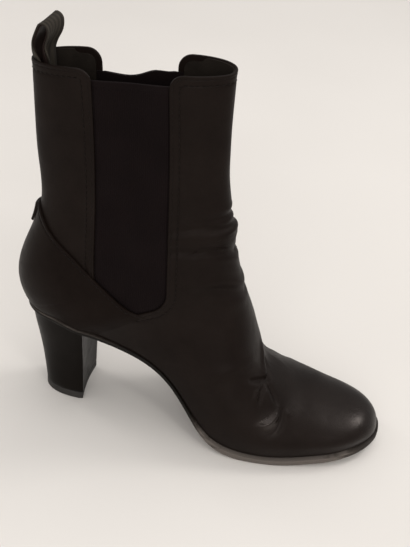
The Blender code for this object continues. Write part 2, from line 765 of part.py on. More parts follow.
def make_buckle():
    """Buckle frame and its prong, fastened on the strap, and the metal keeper below them."""
    gold = material("gold_metal", GOLD, 0.25, 1.0)
    along = BUCKLE_LENGTH / 2 - BUCKLE_WIRE
    across = BUCKLE_WIDTH / 2 - BUCKLE_WIRE
    corners = [(-along, -across, BUCKLE_CORNER), (along, -across, BUCKLE_CORNER),
               (along, across, BUCKLE_CORNER), (-along, across, BUCKLE_CORNER)]
    frame = [on_strap(BUCKLE_AT, a, c, BUCKLE_WIRE) for a, c in rounded(corners, 6)]
    wire("buckle_frame", frame, BUCKLE_WIRE, gold, closed=True)

    reach = along - BUCKLE_WIRE - PRONG_WIRE - GAP
    prong = [on_strap(BUCKLE_AT, a, 0.0, PRONG_WIRE + PRONG_LIFT) for a in np.linspace(-reach, reach, 7)]
    wire("buckle_prong", prong, PRONG_WIRE, gold, closed=False)

    half = KEEPER_LENGTH / 2
    keeper = [on_strap(KEEPER_AT, 0.0, c, KEEPER_WIRE) for c in np.linspace(-half, half, 9)]
    wire("strap_keeper", keeper, KEEPER_WIRE, gold, closed=False)


def loop_path():
    """The pull loop's middle line in even steps of x and z."""
    points = np.array(LOOP_LINE)
    run = np.concatenate(((0.0,), np.cumsum(np.linalg.norm(np.diff(points, axis=0), axis=1))))
    along_x = spline(run, points[:, 0])
    along_z = spline(run, points[:, 1])
    return [(along_x(place), along_z(place)) for place in np.linspace(0.0, run[-1], LOOP_STEPS)]


def make_pull_loop():
    """Folded pull loop, its two legs bent round the inside of the collar's back and straight above it."""
    edges = []
    for x, z in loop_path():
        risen = min(1.0, max(0.0, (z - COLLAR_HEIGHT) / (LOOP_TOP - COLLAR_HEIGHT)))
        row = []
        for across in np.linspace(-1.0, 1.0, LOOP_COLUMNS):
            shift = LOOP_BEND * across ** 2 * (1 - risen) ** 2 + LOOP_TURN * across * risen
            row.append((x + shift, across * LOOP_WIDTH / 2, z + LOOP_TILT * across * risen))
        edges.append(row)
    bm, _ = loft(edges, ring_closed=False)
    finish = material("loop_leather", LEATHER, 0.5)
    ribbon = add_object("pull_loop", mesh_from_bmesh("pull_loop", bm), finish)
    wall = ribbon.modifiers.new("ribbon", "SOLIDIFY")
    wall.thickness = LOOP_THICK * MM
    wall.offset = 0.0
    wall.use_even_offset = True


make_outsole()
make_heel()
make_insole()
make_upper()
make_counter()
make_strap()
make_buckle()
make_pull_loop()
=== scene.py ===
"""Look of a heeled ankle boot, left shoe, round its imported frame.

Sizes are in millimetres in the boot's own frame until a mesh is made: X runs from the heel to the toe,
+Y is the outer side, +Z is up, and the origin is the middle of the heel's tread.
"""
import math
from collections import namedtuple

import bmesh
import bpy
import numpy as np
from mathutils import Matrix, Vector
from mathutils.bvhtree import BVHTree


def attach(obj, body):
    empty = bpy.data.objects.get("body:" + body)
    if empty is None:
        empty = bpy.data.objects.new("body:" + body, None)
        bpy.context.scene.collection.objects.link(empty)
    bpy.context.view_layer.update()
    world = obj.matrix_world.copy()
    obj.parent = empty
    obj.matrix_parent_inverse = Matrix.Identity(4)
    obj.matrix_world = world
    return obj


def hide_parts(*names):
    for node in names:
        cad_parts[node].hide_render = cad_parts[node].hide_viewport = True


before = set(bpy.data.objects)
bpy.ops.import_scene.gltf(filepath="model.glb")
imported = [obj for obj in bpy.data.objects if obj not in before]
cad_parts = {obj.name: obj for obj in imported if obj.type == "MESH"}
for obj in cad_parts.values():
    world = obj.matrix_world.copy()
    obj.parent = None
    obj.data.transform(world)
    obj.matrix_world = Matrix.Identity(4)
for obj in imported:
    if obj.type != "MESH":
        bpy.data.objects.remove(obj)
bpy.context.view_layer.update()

MM = 0.001

# Driving sizes of the last
LENGTH = 240.0
BALL_WIDTH = 82.0
HEEL_HEIGHT = 69.0
INSTEP_HEIGHT = 80.0
COLLAR_HEIGHT = 230.0

# Layers of the upper, as lifts from its outside along the normal
LEATHER_INSIDE = -1.3
LINING_OUTSIDE = -1.38
LINING_INSIDE = -2.0
COUNTER_LIFTS = (0.1, 1.35)
COUNTER_DIVE = 0.4
STRAP_LIFTS = (1.5, 3.1)

# The last is a fan of sections, each from a base point to a ridge point. Columns are percentages:
# x of LENGTH, z of COLLAR_HEIGHT, half widths of BALL_WIDTH.
Shaft = namedtuple("Shaft", "name base_x base_z ridge_x ridge_z medial lateral widest crown pinch")
SHAFT_SECTIONS = (
    Shaft("collar", -8.8, 100.0, 36.9, 104.2, 18.5, 18.5, 0.50, 2.3, 0.45),
    Shaft("shaft_top", -8.4, 86.0, 37.1, 96.7, 18.0, 18.0, 0.50, 2.3, 0.40),
    Shaft("shaft", -7.9, 75.0, 37.3, 89.7, 18.0, 18.0, 0.49, 2.2, 0.28),
    Shaft("ankle", -7.1, 65.3, 37.7, 82.6, 20.0, 20.0, 0.46, 2.2, 0.15),
    Shaft("heel_top", -8.9, 54.3, 38.3, 75.7, 24.5, 24.5, 0.38, 2.2, 0.05),
    Shaft("heel_back", -12.7, 39.6, 39.6, 68.3, 31.5, 31.5, 0.30, 2.2, 0.0),
)

# The foot's base heights are percentages of HEEL_HEIGHT and its ridge heights of INSTEP_HEIGHT
Foot = namedtuple("Foot", "name base_x base_z ridge_x ridge_z medial lateral widest crown feather")
FOOT_SECTIONS = (
    Foot("seat_back", -6.8, 103.5, 40.8, 175.0, 35.5, 35.0, 0.34, 2.2, 0.0),
    Foot("seat", 2.5, 103.5, 42.7, 155.0, 36.5, 34.5, 0.36, 2.1, 0.84),
    Foot("waist", 12.1, 92.5, 45.0, 132.5, 34.0, 36.5, 0.42, 2.0, 0.82),
    Foot("arch", 29.6, 62.0, 49.0, 100.0, 39.0, 44.0, 0.47, 2.0, 0.84),
    Foot("ball_back", 40.0, 21.0, 52.9, 71.0, 50.0, 45.5, 0.45, 2.0, 0.86),
    Foot("ball", 50.8, 6.6, 60.6, 49.0, 53.5, 46.5, 0.46, 2.1, 0.86),
    Foot("vamp", 62.5, 6.6, 67.1, 40.6, 49.4, 41.5, 0.50, 2.2, 0.87),
    Foot("toe", 74.2, 11.2, 76.7, 34.4, 40.5, 32.5, 0.57, 2.3, 0.88),
    Foot("tip", 86.9, 17.4, 86.9, 33.8, 33.0, 25.0, 0.62, 2.3, 0.90),
)
SKIRT = 8.0
TOE_FROM = 71.0
TOE_ROUND_PLAN = 2.1
TOE_ROUND_SIDE = 3.2
PINCH_SPREAD = 0.2
ORDER = [row.name for row in SHAFT_SECTIONS + FOOT_SECTIONS]
SEAT_BACK = ORDER.index("seat_back")
SEAT = ORDER.index("seat")
TIP = ORDER.index("tip")
CURVE_STEPS = 240

# Resolution of the skin
SKIN_STEP = 1.9
SKIN_HALF_COLUMNS = 74
LINING_STEP = 2.2
LINING_HALF_COLUMNS = 56
FINER_FOLDS = 1.5
FOLDS_AT = 10.6
FOLDS_REACH = 0.9

# Elastic gore, seen from the side
GORE_BACK_TOP = 13.7
GORE_FRONT_TOP = 55.0
GORE_CORNERS = ((22.5, 106.5, 7.0), (46.5, 89.3, 7.0), (66.4, 98.5, 13.0))
GORE_DROP_MEDIAL = 7.0
GORE_DROP_LATERAL = 12.0
GORE_ABOVE = 40.0
SHOULDER_RADIUS = 8.0
SHOULDER_RUN = 12.0

# The collar stands a little higher on the outer side, between these places across and up
RIM_LEAN = 2.4
RIM_LEAN_Y = (-4.0, 14.0)
RIM_LEAN_Z = (185.0, 228.0)

# Counter and strap, seen from the side
COUNTER_EDGE = ((-70.0, 144.0), (-18.0, 141.5), (-8.0, 131.0), (6.4, 122.4), (16.8, 114.3), (27.6, 105.6),
                (37.0, 98.2), (43.0, 94.2), (48.0, 91.9), (53.0, 90.4), (60.0, 84.0), (67.0, 60.0))
STRAP_LINE = ((-40.0, 136.5), (-24.0, 134.5), (-10.0, 127.5), (4.0, 116.5), (16.0, 103.5),
              (24.5, 87.0), (31.0, 68.0), (35.0, 50.0))
STRAP_WIDTH = 13.0
STRAP_WRAP = 3.0

# Sole thickness and edge along the boot
SOLE_FORE = 4.5
SOLE_WAIST = 3.4
SOLE_CHANGE = (60.0, 105.0)
SOLE_GAP = 0.3
SKIN_BELOW = SOLE_GAP - 0.02
WeltPlace = namedtuple("WeltPlace", "x margin")
WELT_PLACES = (WeltPlace(5.0, 1.6), WeltPlace(35.0, 0.4), WeltPlace(75.0, 0.4), WeltPlace(110.0, 2.0),
               WeltPlace(180.0, 2.0), WeltPlace(206.0, 1.2))

# Heel levels from the seat down
HeelLevel = namedtuple("HeelLevel", "drop back breast half_width")
HEEL_LEVELS = (
    HeelLevel(0.00, -22.6, 15.0, 25.4),
    HeelLevel(0.18, -21.2, 14.6, 23.2),
    HeelLevel(0.45, -18.4, 14.3, 20.2),
    HeelLevel(0.75, -16.0, 14.2, 18.2),
    HeelLevel(1.00, -14.6, 14.2, 17.2),
)
HEEL_ROUND = 2.5
TOP_PIECE_THICK = 5.5

# Camera of the photograph in the boot's frame, re-aimed at the boot
CAMERA_AT = (127.5, -426.6, 423.9)
CAMERA_FORWARD = (-0.2945, 0.9556)
CAMERA_PITCH = 35.97
CAMERA_TARGET = (84.0, 0.0, 108.0)
CAMERA_LENS = 58.0


def spline(knots, values):
    """A natural cubic spline through the values, as a function of numbers."""
    knots = np.asarray(knots, float)
    values = np.asarray(values, float)
    count = len(knots)
    step = np.diff(knots)
    slope = np.diff(values) / step
    matrix = np.eye(count)
    right = np.zeros(count)
    for i in range(1, count - 1):
        matrix[i, i - 1:i + 2] = step[i - 1], 2 * (step[i - 1] + step[i]), step[i]
        right[i] = 6 * (slope[i] - slope[i - 1])
    bend = np.linalg.solve(matrix, right)

    def at(t):
        t = np.asarray(t, float)
        i = np.clip(np.searchsorted(knots, t) - 1, 0, count - 2)
        h = step[i]
        a = (knots[i + 1] - t) / h
        b = (t - knots[i]) / h
        curve = ((a ** 3 - a) * bend[i] + (b ** 3 - b) * bend[i + 1]) * h * h / 6
        return a * values[i] + b * values[i + 1] + curve

    return at


def smooth(low, high, value):
    """A soft step from 0 at low to 1 at high."""
    share = np.clip((np.asarray(value, float) - low) / (high - low), 0.0, 1.0)
    return share * share * (3 - 2 * share)


def bell(value, middle, spread):
    """A soft hump of height 1 round a middle."""
    return np.exp(-((np.asarray(value, float) - middle) / spread) ** 2)


def last_columns():
    """Each column of the last in millimetres, as a spline along the fan."""
    rows = []
    for row in SHAFT_SECTIONS:
        units = {"unit_base": COLLAR_HEIGHT, "unit_ridge": COLLAR_HEIGHT, "skirt": 0.0}
        rows.append({**row._asdict(), **units})
    for row in FOOT_SECTIONS:
        units = {"unit_base": HEEL_HEIGHT, "unit_ridge": INSTEP_HEIGHT, "skirt": SKIRT}
        rows.append({**row._asdict(), "pinch": 0.0, **units})
    sizes = {
        "base_x": [row["base_x"] * LENGTH / 100 for row in rows],
        "base_z": [row["base_z"] * row["unit_base"] / 100 - row["skirt"] for row in rows],
        "ridge_x": [row["ridge_x"] * LENGTH / 100 for row in rows],
        "ridge_z": [row["ridge_z"] * row["unit_ridge"] / 100 for row in rows],
        "medial": [row["medial"] * BALL_WIDTH / 100 for row in rows],
        "lateral": [row["lateral"] * BALL_WIDTH / 100 for row in rows],
    }
    for plain in ("widest", "crown", "pinch"):
        sizes[plain] = [row[plain] for row in rows]
    columns = {name: spline(range(len(rows)), values) for name, values in sizes.items()}
    open_rows = range(SEAT, TIP + 1)
    columns["feather"] = spline(open_rows, [rows[i]["feather"] for i in open_rows])
    return columns


LAST = last_columns()
FEATHER_X = [row.base_x * LENGTH / 100 for row in FOOT_SECTIONS]
FEATHER_LINE = spline(FEATHER_X, [row.base_z * HEEL_HEIGHT / 100 for row in FOOT_SECTIONS])


def profile_height(x):
    """Height of the feather line, where the sole meets the upper, level past its ends."""
    return FEATHER_LINE(np.clip(x, FEATHER_X[0], FEATHER_X[-1]))


def toe_taper(t):
    """How far the toe's rounding leaves the plan and the side of a section."""
    if t <= SEAT:
        return 1.0, 1.0
    start = TOE_FROM * LENGTH / 100
    end = LAST["base_x"](TIP)
    reach = float(np.clip((LAST["base_x"](t) - start) / (end - start), 0.0, 0.9999))
    plan = (1 - reach ** TOE_ROUND_PLAN) ** (1 / TOE_ROUND_PLAN)
    side = (1 - reach ** TOE_ROUND_SIDE) ** (1 / TOE_ROUND_SIDE)
    return plan, side


def feather_share(t):
    """Share of the half width that is open underneath; the seat closes in a half round at the back."""
    if t <= SEAT_BACK:
        return 0.0
    if t < SEAT:
        front = LAST["base_x"](SEAT)
        reach = (front - LAST["base_x"](t)) / (front - LAST["base_x"](SEAT_BACK))
        return float(LAST["feather"](SEAT)) * math.sqrt(max(0.0, 1 - reach * reach))
    return float(LAST["feather"](t))


def half_curve(t, side):
    """One side of a section as a fine polyline from its foot edge to its ridge."""
    plan, rise = toe_taper(t)
    base = np.array((LAST["base_x"](t), LAST["base_z"](t)))
    up = np.array((LAST["ridge_x"](t), LAST["ridge_z"](t))) - base
    width = float(LAST["medial" if side < 0 else "lateral"](t)) * plan
    crown = float(LAST["crown"](t))
    widest = float(LAST["widest"](t))
    depth = widest / (1 - feather_share(t) ** crown) ** (1 / crown)
    low = math.acos(min(1.0, (widest / depth) ** (crown / 2)))
    angle = np.linspace(low, math.pi - 1e-6, CURVE_STEPS)
    turn = np.abs(np.cos(angle)) ** (2 / crown)
    along = np.where(angle < math.pi / 2, widest - depth * turn, widest + (1 - widest) * turn)
    caved = 1 - LAST["pinch"](t) * bell(along, 0.5, PINCH_SPREAD)
    y = side * np.sin(angle) ** (2 / crown) * caved * width
    return np.stack((base[0] + along * rise * up[0], y, base[1] + along * rise * up[1]), axis=1)


def trimmed_half(t, side, below):
    """One side of a section, cut off a little below the feather line."""
    curve = half_curve(t, side)
    above = curve[:, 2] - profile_height(curve[:, 0]) + below
    under = np.nonzero(above < 0)[0]
    if len(under):
        i = min(under[-1], len(curve) - 2)
        share = above[i] / (above[i] - above[i + 1])
        curve = np.vstack((curve[i] + (curve[i + 1] - curve[i]) * share, curve[i + 1:]))
    return curve


def path_run(points):
    """How far along a polyline each of its points lies."""
    return np.concatenate(((0.0,), np.cumsum(np.linalg.norm(np.diff(points, axis=0), axis=1))))


def sample(points, run, where):
    """A polyline's values at places along it."""
    return np.stack([np.interp(where, run, points[:, k]) for k in range(points.shape[1])], axis=1)


def evenly(points, count):
    """A polyline as a number of even steps."""
    run = path_run(points)
    return sample(points, run, np.linspace(0.0, run[-1], count + 1))


def unit(vectors):
    """Vectors brought to length 1."""
    return vectors / np.linalg.norm(vectors, axis=1)[:, None]


def round_directions(points):
    """Unit directions along a closed line."""
    return unit(np.roll(points, -1, axis=0) - np.roll(points, 1, axis=0))


def section(t, count):
    """A whole section: inner foot edge, over the ridge, to the outer foot edge."""
    inner, outer = (evenly(trimmed_half(t, side, SKIN_BELOW), count) for side in (-1, 1))
    middle = (inner[-1:] + outer[-1:]) / 2
    return np.vstack((inner[:-1], middle, outer[-2::-1]))


def feather_crossing(low, high, end):
    """Place between two rows where a section's start (0) or its ridge (-1) crosses the feather line."""
    def above(t):
        x, _, z = half_curve(t, 1)[end]
        return z - profile_height(x)

    rising = above(high) > above(low)
    for _ in range(30):
        middle = (low + high) / 2
        if (above(middle) > 0) == rising:
            high = middle
        else:
            low = middle
    return low


SOLE_BACK = feather_crossing(SEAT_BACK - 1, SEAT_BACK, 0)
SOLE_FRONT = feather_crossing(TIP - 1, TIP, -1)


def even_places(step):
    """Places along the fan so that neighbouring sections lie about one step apart."""
    trial = np.linspace(0.0, SOLE_FRONT - 1e-3, 500)
    paths = np.array([section(t, 5) for t in trial])
    moved = np.linalg.norm(np.diff(paths, axis=0), axis=2).max(axis=1)
    moved *= 1 + FINER_FOLDS * bell(trial[1:], FOLDS_AT, FOLDS_REACH)
    run = np.concatenate(((0.0,), np.cumsum(moved)))
    return np.interp(np.linspace(0.0, run[-1], int(run[-1] / step)), run, trial)


Skin = namedtuple("Skin", "points normals tris")


def vertex_normals(points, tris):
    """Unit normals at points from the triangles round them."""
    a, b, c = (points[tris[:, k]] for k in range(3))
    face = np.cross(b - a, c - a)
    total = np.zeros_like(points)
    for k in range(3):
        np.add.at(total, tris[:, k], face)
    return total / np.maximum(np.linalg.norm(total, axis=1), 1e-12)[:, None]


def grid_corners(index):
    """The corners of each cell of a grid of point numbers, in order round the cell."""
    return [part.ravel() for part in (index[:-1, :-1], index[:-1, 1:], index[1:, 1:], index[1:, :-1])]


def grid_tris(rows, columns, normals, points):
    """Triangles of a grid of points, turned so that they face along the normals."""
    a, b, c, d = grid_corners(np.arange(rows * columns).reshape(rows, columns))
    tris = np.vstack((np.stack((a, b, c), axis=1), np.stack((a, c, d), axis=1)))
    agree = np.sum(vertex_normals(points, tris) * normals)
    return tris if agree > 0 else tris[:, ::-1]


def make_skin(step, count):
    """The outside of the upper as triangles, welded along the back seam."""
    grid = np.array([section(t, count) for t in even_places(step)])
    rows, columns = grid.shape[:2]
    index = np.arange(rows * columns).reshape(rows, columns)
    closed = np.linalg.norm(grid[:, 0] - grid[:, -1], axis=1) < 0.01
    index[closed, -1] = index[closed, 0]
    a, b, c, d = grid_corners(index)
    tris = np.vstack((np.stack((a, c, b), axis=1), np.stack((a, d, c), axis=1)))
    tris = tris[(tris[:, 0] != tris[:, 1]) & (tris[:, 1] != tris[:, 2]) & (tris[:, 0] != tris[:, 2])]
    used, tris = np.unique(tris, return_inverse=True)
    tris = tris.reshape(-1, 3)
    points = grid.reshape(-1, 3)[used]
    normals = vertex_normals(points, tris)
    outward = normals[np.argmax(points[:, 1])][1]
    if outward < 0:
        tris = tris[:, ::-1]
        normals = -normals
    return Skin(points, normals, tris)


# Creases, placed on the last: places along the fan and across it, from -1 at the inner foot edge
# over 0 at the ridge to 1 at the outer one. Depth and width are millimetres, and "lip" is the height of
# the ridges beside the trough, as a share of its depth. A negative depth is a ridge.
Crease = namedtuple("Crease", "name depth width lip path")
CREASES = (
    Crease("ankle_step", 1.3, 2.2, 0.2,
           ((4.75, -0.16), (4.95, -0.08), (5.12, 0.0), (4.95, 0.1), (4.75, 0.2))),
    Crease("ankle_fold", 1.2, 1.9, 0.4,
           ((4.75, -0.27), (4.91, -0.17), (5.09, -0.12), (5.38, -0.05), (5.45, 0.04), (5.25, 0.14),
            (5.0, 0.24))),
    Crease("ankle_bulge", -2.4, 5.0, 0.0, ((5.35, -0.12), (5.72, 0.0), (5.45, 0.12))),
    Crease("ankle_ridge", -1.2, 3.0, 0.0,
           ((4.9, -0.32), (5.03, -0.22), (5.27, -0.16), (5.64, -0.09), (6.05, -0.02), (5.75, 0.08),
            (5.4, 0.16), (5.1, 0.26))),
    Crease("ankle_fold_low", 1.6, 2.4, 0.3,
           ((5.2, -0.3), (5.48, -0.21), (5.9, -0.15), (6.5, -0.04), (6.55, 0.03), (6.2, 0.12), (5.8, 0.22))),
    Crease("instep_ridge", -0.9, 3.2, 0.0,
           ((6.7, -0.32), (6.92, -0.25), (7.32, -0.15), (7.86, -0.02), (7.6, 0.1), (7.2, 0.22))),
    Crease("instep_fold", 0.9, 2.6, 0.2,
           ((7.1, -0.3), (7.4, -0.22), (7.75, -0.14), (8.15, -0.03), (8.0, 0.08), (7.6, 0.2))),
    Crease("instep_swell", -0.7, 4.5, 0.0, ((8.0, -0.24), (8.2, -0.14), (8.4, -0.04))),
    Crease("quarter_ridge", -0.9, 3.4, 0.0, ((9.1, -0.66), (9.23, -0.48), (9.54, -0.31), (9.75, -0.15))),
    Crease("vamp_hollow", 3.5, 8.5, 0.0,
           ((10.3, -0.2), (10.3, 0.0), (10.28, 0.15), (10.3, 0.35), (10.3, 0.55))),
    Crease("vamp_fall", 1.6, 8.0, 0.0,
           ((10.5, 0.15), (10.65, 0.3), (10.8, 0.42), (11.0, 0.5), (11.25, 0.56))),
    Crease("break_lip", -1.7, 2.8, 0.0,
           ((9.8, 0.08), (9.89, 0.02), (10.02, -0.03), (10.14, -0.09), (10.26, -0.16), (10.28, -0.22))),
    Crease("vamp_break", 1.4, 1.6, 0.0, ((10.06, 0.04), (10.24, -0.03), (10.38, -0.13), (10.44, -0.2))),
    Crease("lip_under", 1.9, 1.8, 0.0,
           ((10.46, -0.16), (10.39, -0.19), (10.24, -0.25), (10.05, -0.31), (9.88, -0.36))),
    Crease("fold_back", 1.4, 1.7, 0.0,
           ((10.34, -0.22), (10.36, -0.28), (10.36, -0.34), (10.4, -0.4), (10.44, -0.45))),
    Crease("fold_fore", 1.5, 1.8, 0.0,
           ((10.38, -0.18), (10.45, -0.22), (10.57, -0.26), (10.79, -0.32), (10.92, -0.38))),
    Crease("fold_ridge", -0.6, 1.7, 0.0, ((10.46, -0.27), (10.55, -0.32), (10.68, -0.37), (10.76, -0.41))),
    Crease("fold_knuckle", -1.3, 2.0, 0.0, ((10.2, -0.35), (10.28, -0.39), (10.34, -0.44))),
    Crease("vamp_curl", -1.8, 2.1, 0.0,
           ((10.7, -0.605), (10.79, -0.585), (10.88, -0.565), (10.95, -0.53), (10.99, -0.48),
            (10.99, -0.43))),
    Crease("curl_shadow", 1.1, 2.0, 0.0,
           ((11.03, -0.36), (11.16, -0.44), (11.2, -0.52), (11.2, -0.6), (11.05, -0.67))),
    Crease("vamp_swell", -0.5, 2.6, 0.0, ((11.22, -0.45), (11.28, -0.42), (11.35, -0.39))),
    Crease("outer_break", 1.5, 3.0, 0.0, ((10.3, 0.38), (10.42, 0.44), (10.6, 0.52), (10.8, 0.64))),
    Crease("outer_quarter", 1.2, 2.6, 0.2, ((9.6, 0.4), (9.8, 0.48), (10.0, 0.58), (10.1, 0.7))),
    Crease("outer_instep", 0.8, 2.8, 0.2, ((7.6, 0.16), (8.0, 0.28), (8.3, 0.42))),
)
CREASE_STEPS = 40
CREASE_REACH = 4.0


def surface_points(path):
    """Points on the undisplaced last along a path of fan places."""
    knots = np.linspace(0.0, 1.0, len(path))
    dense = np.linspace(0.0, 1.0, CREASE_STEPS)
    places, across = (spline(knots, column)(dense) for column in zip(*path))
    steps = 60
    points = []
    for t, v in zip(np.clip(places, 0.0, SOLE_FRONT - 1e-3), across):
        line = evenly(trimmed_half(float(t), -1 if v < 0 else 1, SOLE_GAP), steps)
        points.append(sample(line, np.arange(steps + 1), [(1 - abs(v)) * steps])[0])
    return np.array(points)


def crease_shift(points):
    """How far each point moves along its normal for the creases."""
    shift = np.zeros(len(points))
    for crease in CREASES:
        line = surface_points(crease.path)
        reach = CREASE_REACH * crease.width
        near = np.all((points > line.min(0) - reach) & (points < line.max(0) + reach), axis=1)
        chosen = np.nonzero(near)[0]
        gaps = np.linalg.norm(points[chosen][:, None] - line[None], axis=2)
        nearest = gaps.argmin(axis=1)
        away = gaps.min(axis=1) / crease.width
        share = nearest / (len(line) - 1)
        fade = np.sin(np.pi * np.clip(share, 0.02, 0.98)) ** 0.6
        form = -bell(away, 0.0, 1.0) + crease.lip * bell(away, 2.0, 0.85)
        shift[chosen] += crease.depth * fade * form
    return shift


def creased_skin(step, count):
    """The skin with its creases."""
    skin = make_skin(step, count)
    points = skin.points + skin.normals * crease_shift(skin.points)[:, None]
    return Skin(points, vertex_normals(points, skin.tris), skin.tris)


def rounded(corners, steps=9):
    """An outline with each corner (x, z, radius) turned by an arc."""
    outline = []
    count = len(corners)
    for i, (x, z, radius) in enumerate(corners):
        here = Vector((x, z))
        if not radius:
            outline.append((x, z))
            continue
        back = (Vector(corners[i - 1][:2]) - here).normalized()
        ahead = (Vector(corners[(i + 1) % count][:2]) - here).normalized()
        half = back.angle(ahead) / 2
        centre = here + (back + ahead).normalized() * radius / math.sin(half)
        first = (here + back * radius / math.tan(half) - centre).normalized()
        last = (here + ahead * radius / math.tan(half) - centre).normalized()
        for share in np.linspace(0.0, 1.0, steps):
            outline.append(tuple(centre + first.slerp(last, share) * radius))
    return np.array(outline)


def rim_height(x):
    """Height of the collar's rim along X."""
    back = (LAST["base_x"](0), LAST["base_z"](0))
    front = (LAST["ridge_x"](0), LAST["ridge_z"](0))
    return back[1] + (x - back[0]) / (front[0] - back[0]) * (front[1] - back[1])


def gore_outline():
    """The notch for the elastic, with the leather's shoulders rounded at the rim."""
    above = COLLAR_HEIGHT + GORE_ABOVE
    left = GORE_BACK_TOP - SHOULDER_RUN
    right = GORE_FRONT_TOP + SHOULDER_RUN
    return rounded([
        (left, above, 0.0),
        (left, rim_height(left), 0.0),
        (GORE_BACK_TOP, rim_height(GORE_BACK_TOP), SHOULDER_RADIUS),
        *GORE_CORNERS,
        (GORE_FRONT_TOP, rim_height(GORE_FRONT_TOP), SHOULDER_RADIUS),
        (right, rim_height(right), 0.0),
        (right, above, 0.0),
    ])


def line_distance(points, line, closed=False):
    """Distance of points in a plane from a polyline."""
    starts = line if closed else line[:-1]
    ends = np.roll(line, -1, axis=0) if closed else line[1:]
    best = np.full(len(points), np.inf)
    for a, b in zip(starts, ends):
        run = b - a
        share = np.clip(((points - a) @ run) / (run @ run), 0.0, 1.0)
        best = np.minimum(best, np.linalg.norm(points - a - share[:, None] * run, axis=1))
    return best


def inside(points, outline):
    """Which points of a plane lie in a closed outline."""
    x, z = points[:, 0], points[:, 1]
    odd = np.zeros(len(points), bool)
    for a, b in zip(outline, np.roll(outline, -1, axis=0)):
        crosses = (a[1] > z) != (b[1] > z)
        if a[1] != b[1]:
            odd ^= crosses & (x < a[0] + (z - a[1]) / (b[1] - a[1]) * (b[0] - a[0]))
    return odd


GORE_NOTCH = gore_outline()


def notch_distance(points):
    """Distance from the gore's notch, seen from the side: positive on the leather."""
    flat = points[:, (0, 2)]
    away = line_distance(flat, GORE_NOTCH, closed=True)
    return np.where(inside(flat, GORE_NOTCH), -away, away)


def rim_distance(points):
    """Distance below the collar's rim."""
    return rim_height(points[:, 0]) - points[:, 2]


def sole_distance(points):
    """Height above the feather line."""
    return points[:, 2] - profile_height(points[:, 0])


def smooth_line(knots, steps):
    """A smooth polyline through points in a plane."""
    knots = np.asarray(knots, float)
    run = path_run(knots)
    dense = np.linspace(0.0, run[-1], steps)
    return np.stack([spline(run, knots[:, k])(dense) for k in range(2)], axis=1)


COUNTER_FLOOR = ((68.0, 0.0), (-70.0, 0.0))
COUNTER_LINE = np.vstack((COUNTER_EDGE[:1], smooth_line(COUNTER_EDGE[1:], 60)))


def counter_distance(points):
    """Distance from the counter's raised edge, seen from the side: positive on the counter."""
    flat = points[:, (0, 2)]
    outline = np.vstack((COUNTER_LINE, COUNTER_FLOOR))
    away = line_distance(flat, COUNTER_LINE)
    return np.where(inside(flat, outline), away, -away)


STRAP_COURSE = smooth_line(STRAP_LINE, 90)


def strap_distance(points):
    """Distance inside the strap's edges: positive on the strap."""
    across = STRAP_WIDTH / 2 - line_distance(points[:, (0, 2)], STRAP_COURSE)
    return np.where(points[:, 1] < 0, np.minimum(across, points[:, 1] + STRAP_WRAP), across)


def patch(skin, fields, keep=None):
    """A bmesh of the skin where the first field may be positive, with its fields and normals as layers."""
    bm = bmesh.new()
    first = next(iter(fields.values()))
    chosen = first[skin.tris].max(axis=1) > -1e-6
    if keep is not None:
        chosen &= keep[skin.tris].all(axis=1)
    used, tris = np.unique(skin.tris[chosen], return_inverse=True)
    normal = bm.verts.layers.float_vector.new("normal")
    layers = {name: bm.verts.layers.float.new(name) for name in fields}
    verts = []
    for i in used:
        vert = bm.verts.new(skin.points[i])
        vert[normal] = skin.normals[i]
        for name, layer in layers.items():
            vert[layer] = fields[name][i]
        verts.append(vert)
    for a, b, c in tris.reshape(-1, 3):
        bm.faces.new((verts[a], verts[b], verts[c]))
    return bm


def knife(bm, field, level):
    """Cut a bmesh along a level of a field, and give the cut as polylines of points and normals."""
    layer = bm.verts.layers.float[field]
    normal = bm.verts.layers.float_vector["normal"]
    for vert in bm.verts:
        if abs(vert[layer] - level) < 1e-4:
            vert[layer] = level + 2e-4
    crossing = [edge for edge in bm.edges
                if (edge.verts[0][layer] - level) * (edge.verts[1][layer] - level) < 0]
    # Dicts keep their order, so each run cuts the faces and follows the cut in the same order
    fresh = {}
    for edge in crossing:
        a, b = edge.verts
        share = (level - a[layer]) / (b[layer] - a[layer])
        _, vert = bmesh.utils.edge_split(edge, a, share)
        vert[layer] = level
        fresh[vert] = share
    for face in dict.fromkeys(face for vert in fresh for face in vert.link_faces):
        ends = [vert for vert in face.verts if vert in fresh]
        if len(ends) == 2:
            bmesh.utils.face_split(face, ends[0], ends[1])
    links = {vert: [edge.other_vert(vert) for edge in vert.link_edges if edge.other_vert(vert) in fresh]
             for vert in fresh}
    lines = []
    waiting = set(fresh)
    starts = sorted(fresh, key=lambda vert: (len(links[vert]), *vert.co))
    for start in starts:
        if start not in waiting:
            continue
        chain = [start]
        waiting.discard(start)
        while True:
            ahead = [vert for vert in links[chain[-1]] if vert in waiting]
            if not ahead:
                break
            chain.append(ahead[0])
            waiting.discard(ahead[0])
        if len(chain) > 2:
            lines.append((np.array([vert.co for vert in chain]), np.array([vert[normal] for vert in chain])))
    return lines


def keep_above(bm, field):
    """Delete what lies where a field is negative."""
    layer = bm.verts.layers.float[field]
    gone = [face for face in bm.faces if sum(vert[layer] for vert in face.verts) / len(face.verts) < 0.0]
    bmesh.ops.delete(bm, geom=gone, context="FACES")


def cut_patch(skin, fields, trims, levels, along="edge", keep=None):
    """A patch trimmed where some fields turn negative and cut along levels of one, and those cuts."""
    bm = patch(skin, fields, keep)
    for field in trims:
        knife(bm, field, 0.0)
        keep_above(bm, field)
    return bm, {level: knife(bm, along, level) for level in levels}


def leaned(points):
    """Points with the collar's outer side raised."""
    points = np.array(points, float)
    points[:, 2] += RIM_LEAN * smooth(*RIM_LEAN_Y, points[:, 1]) * smooth(*RIM_LEAN_Z, points[:, 2])
    return points


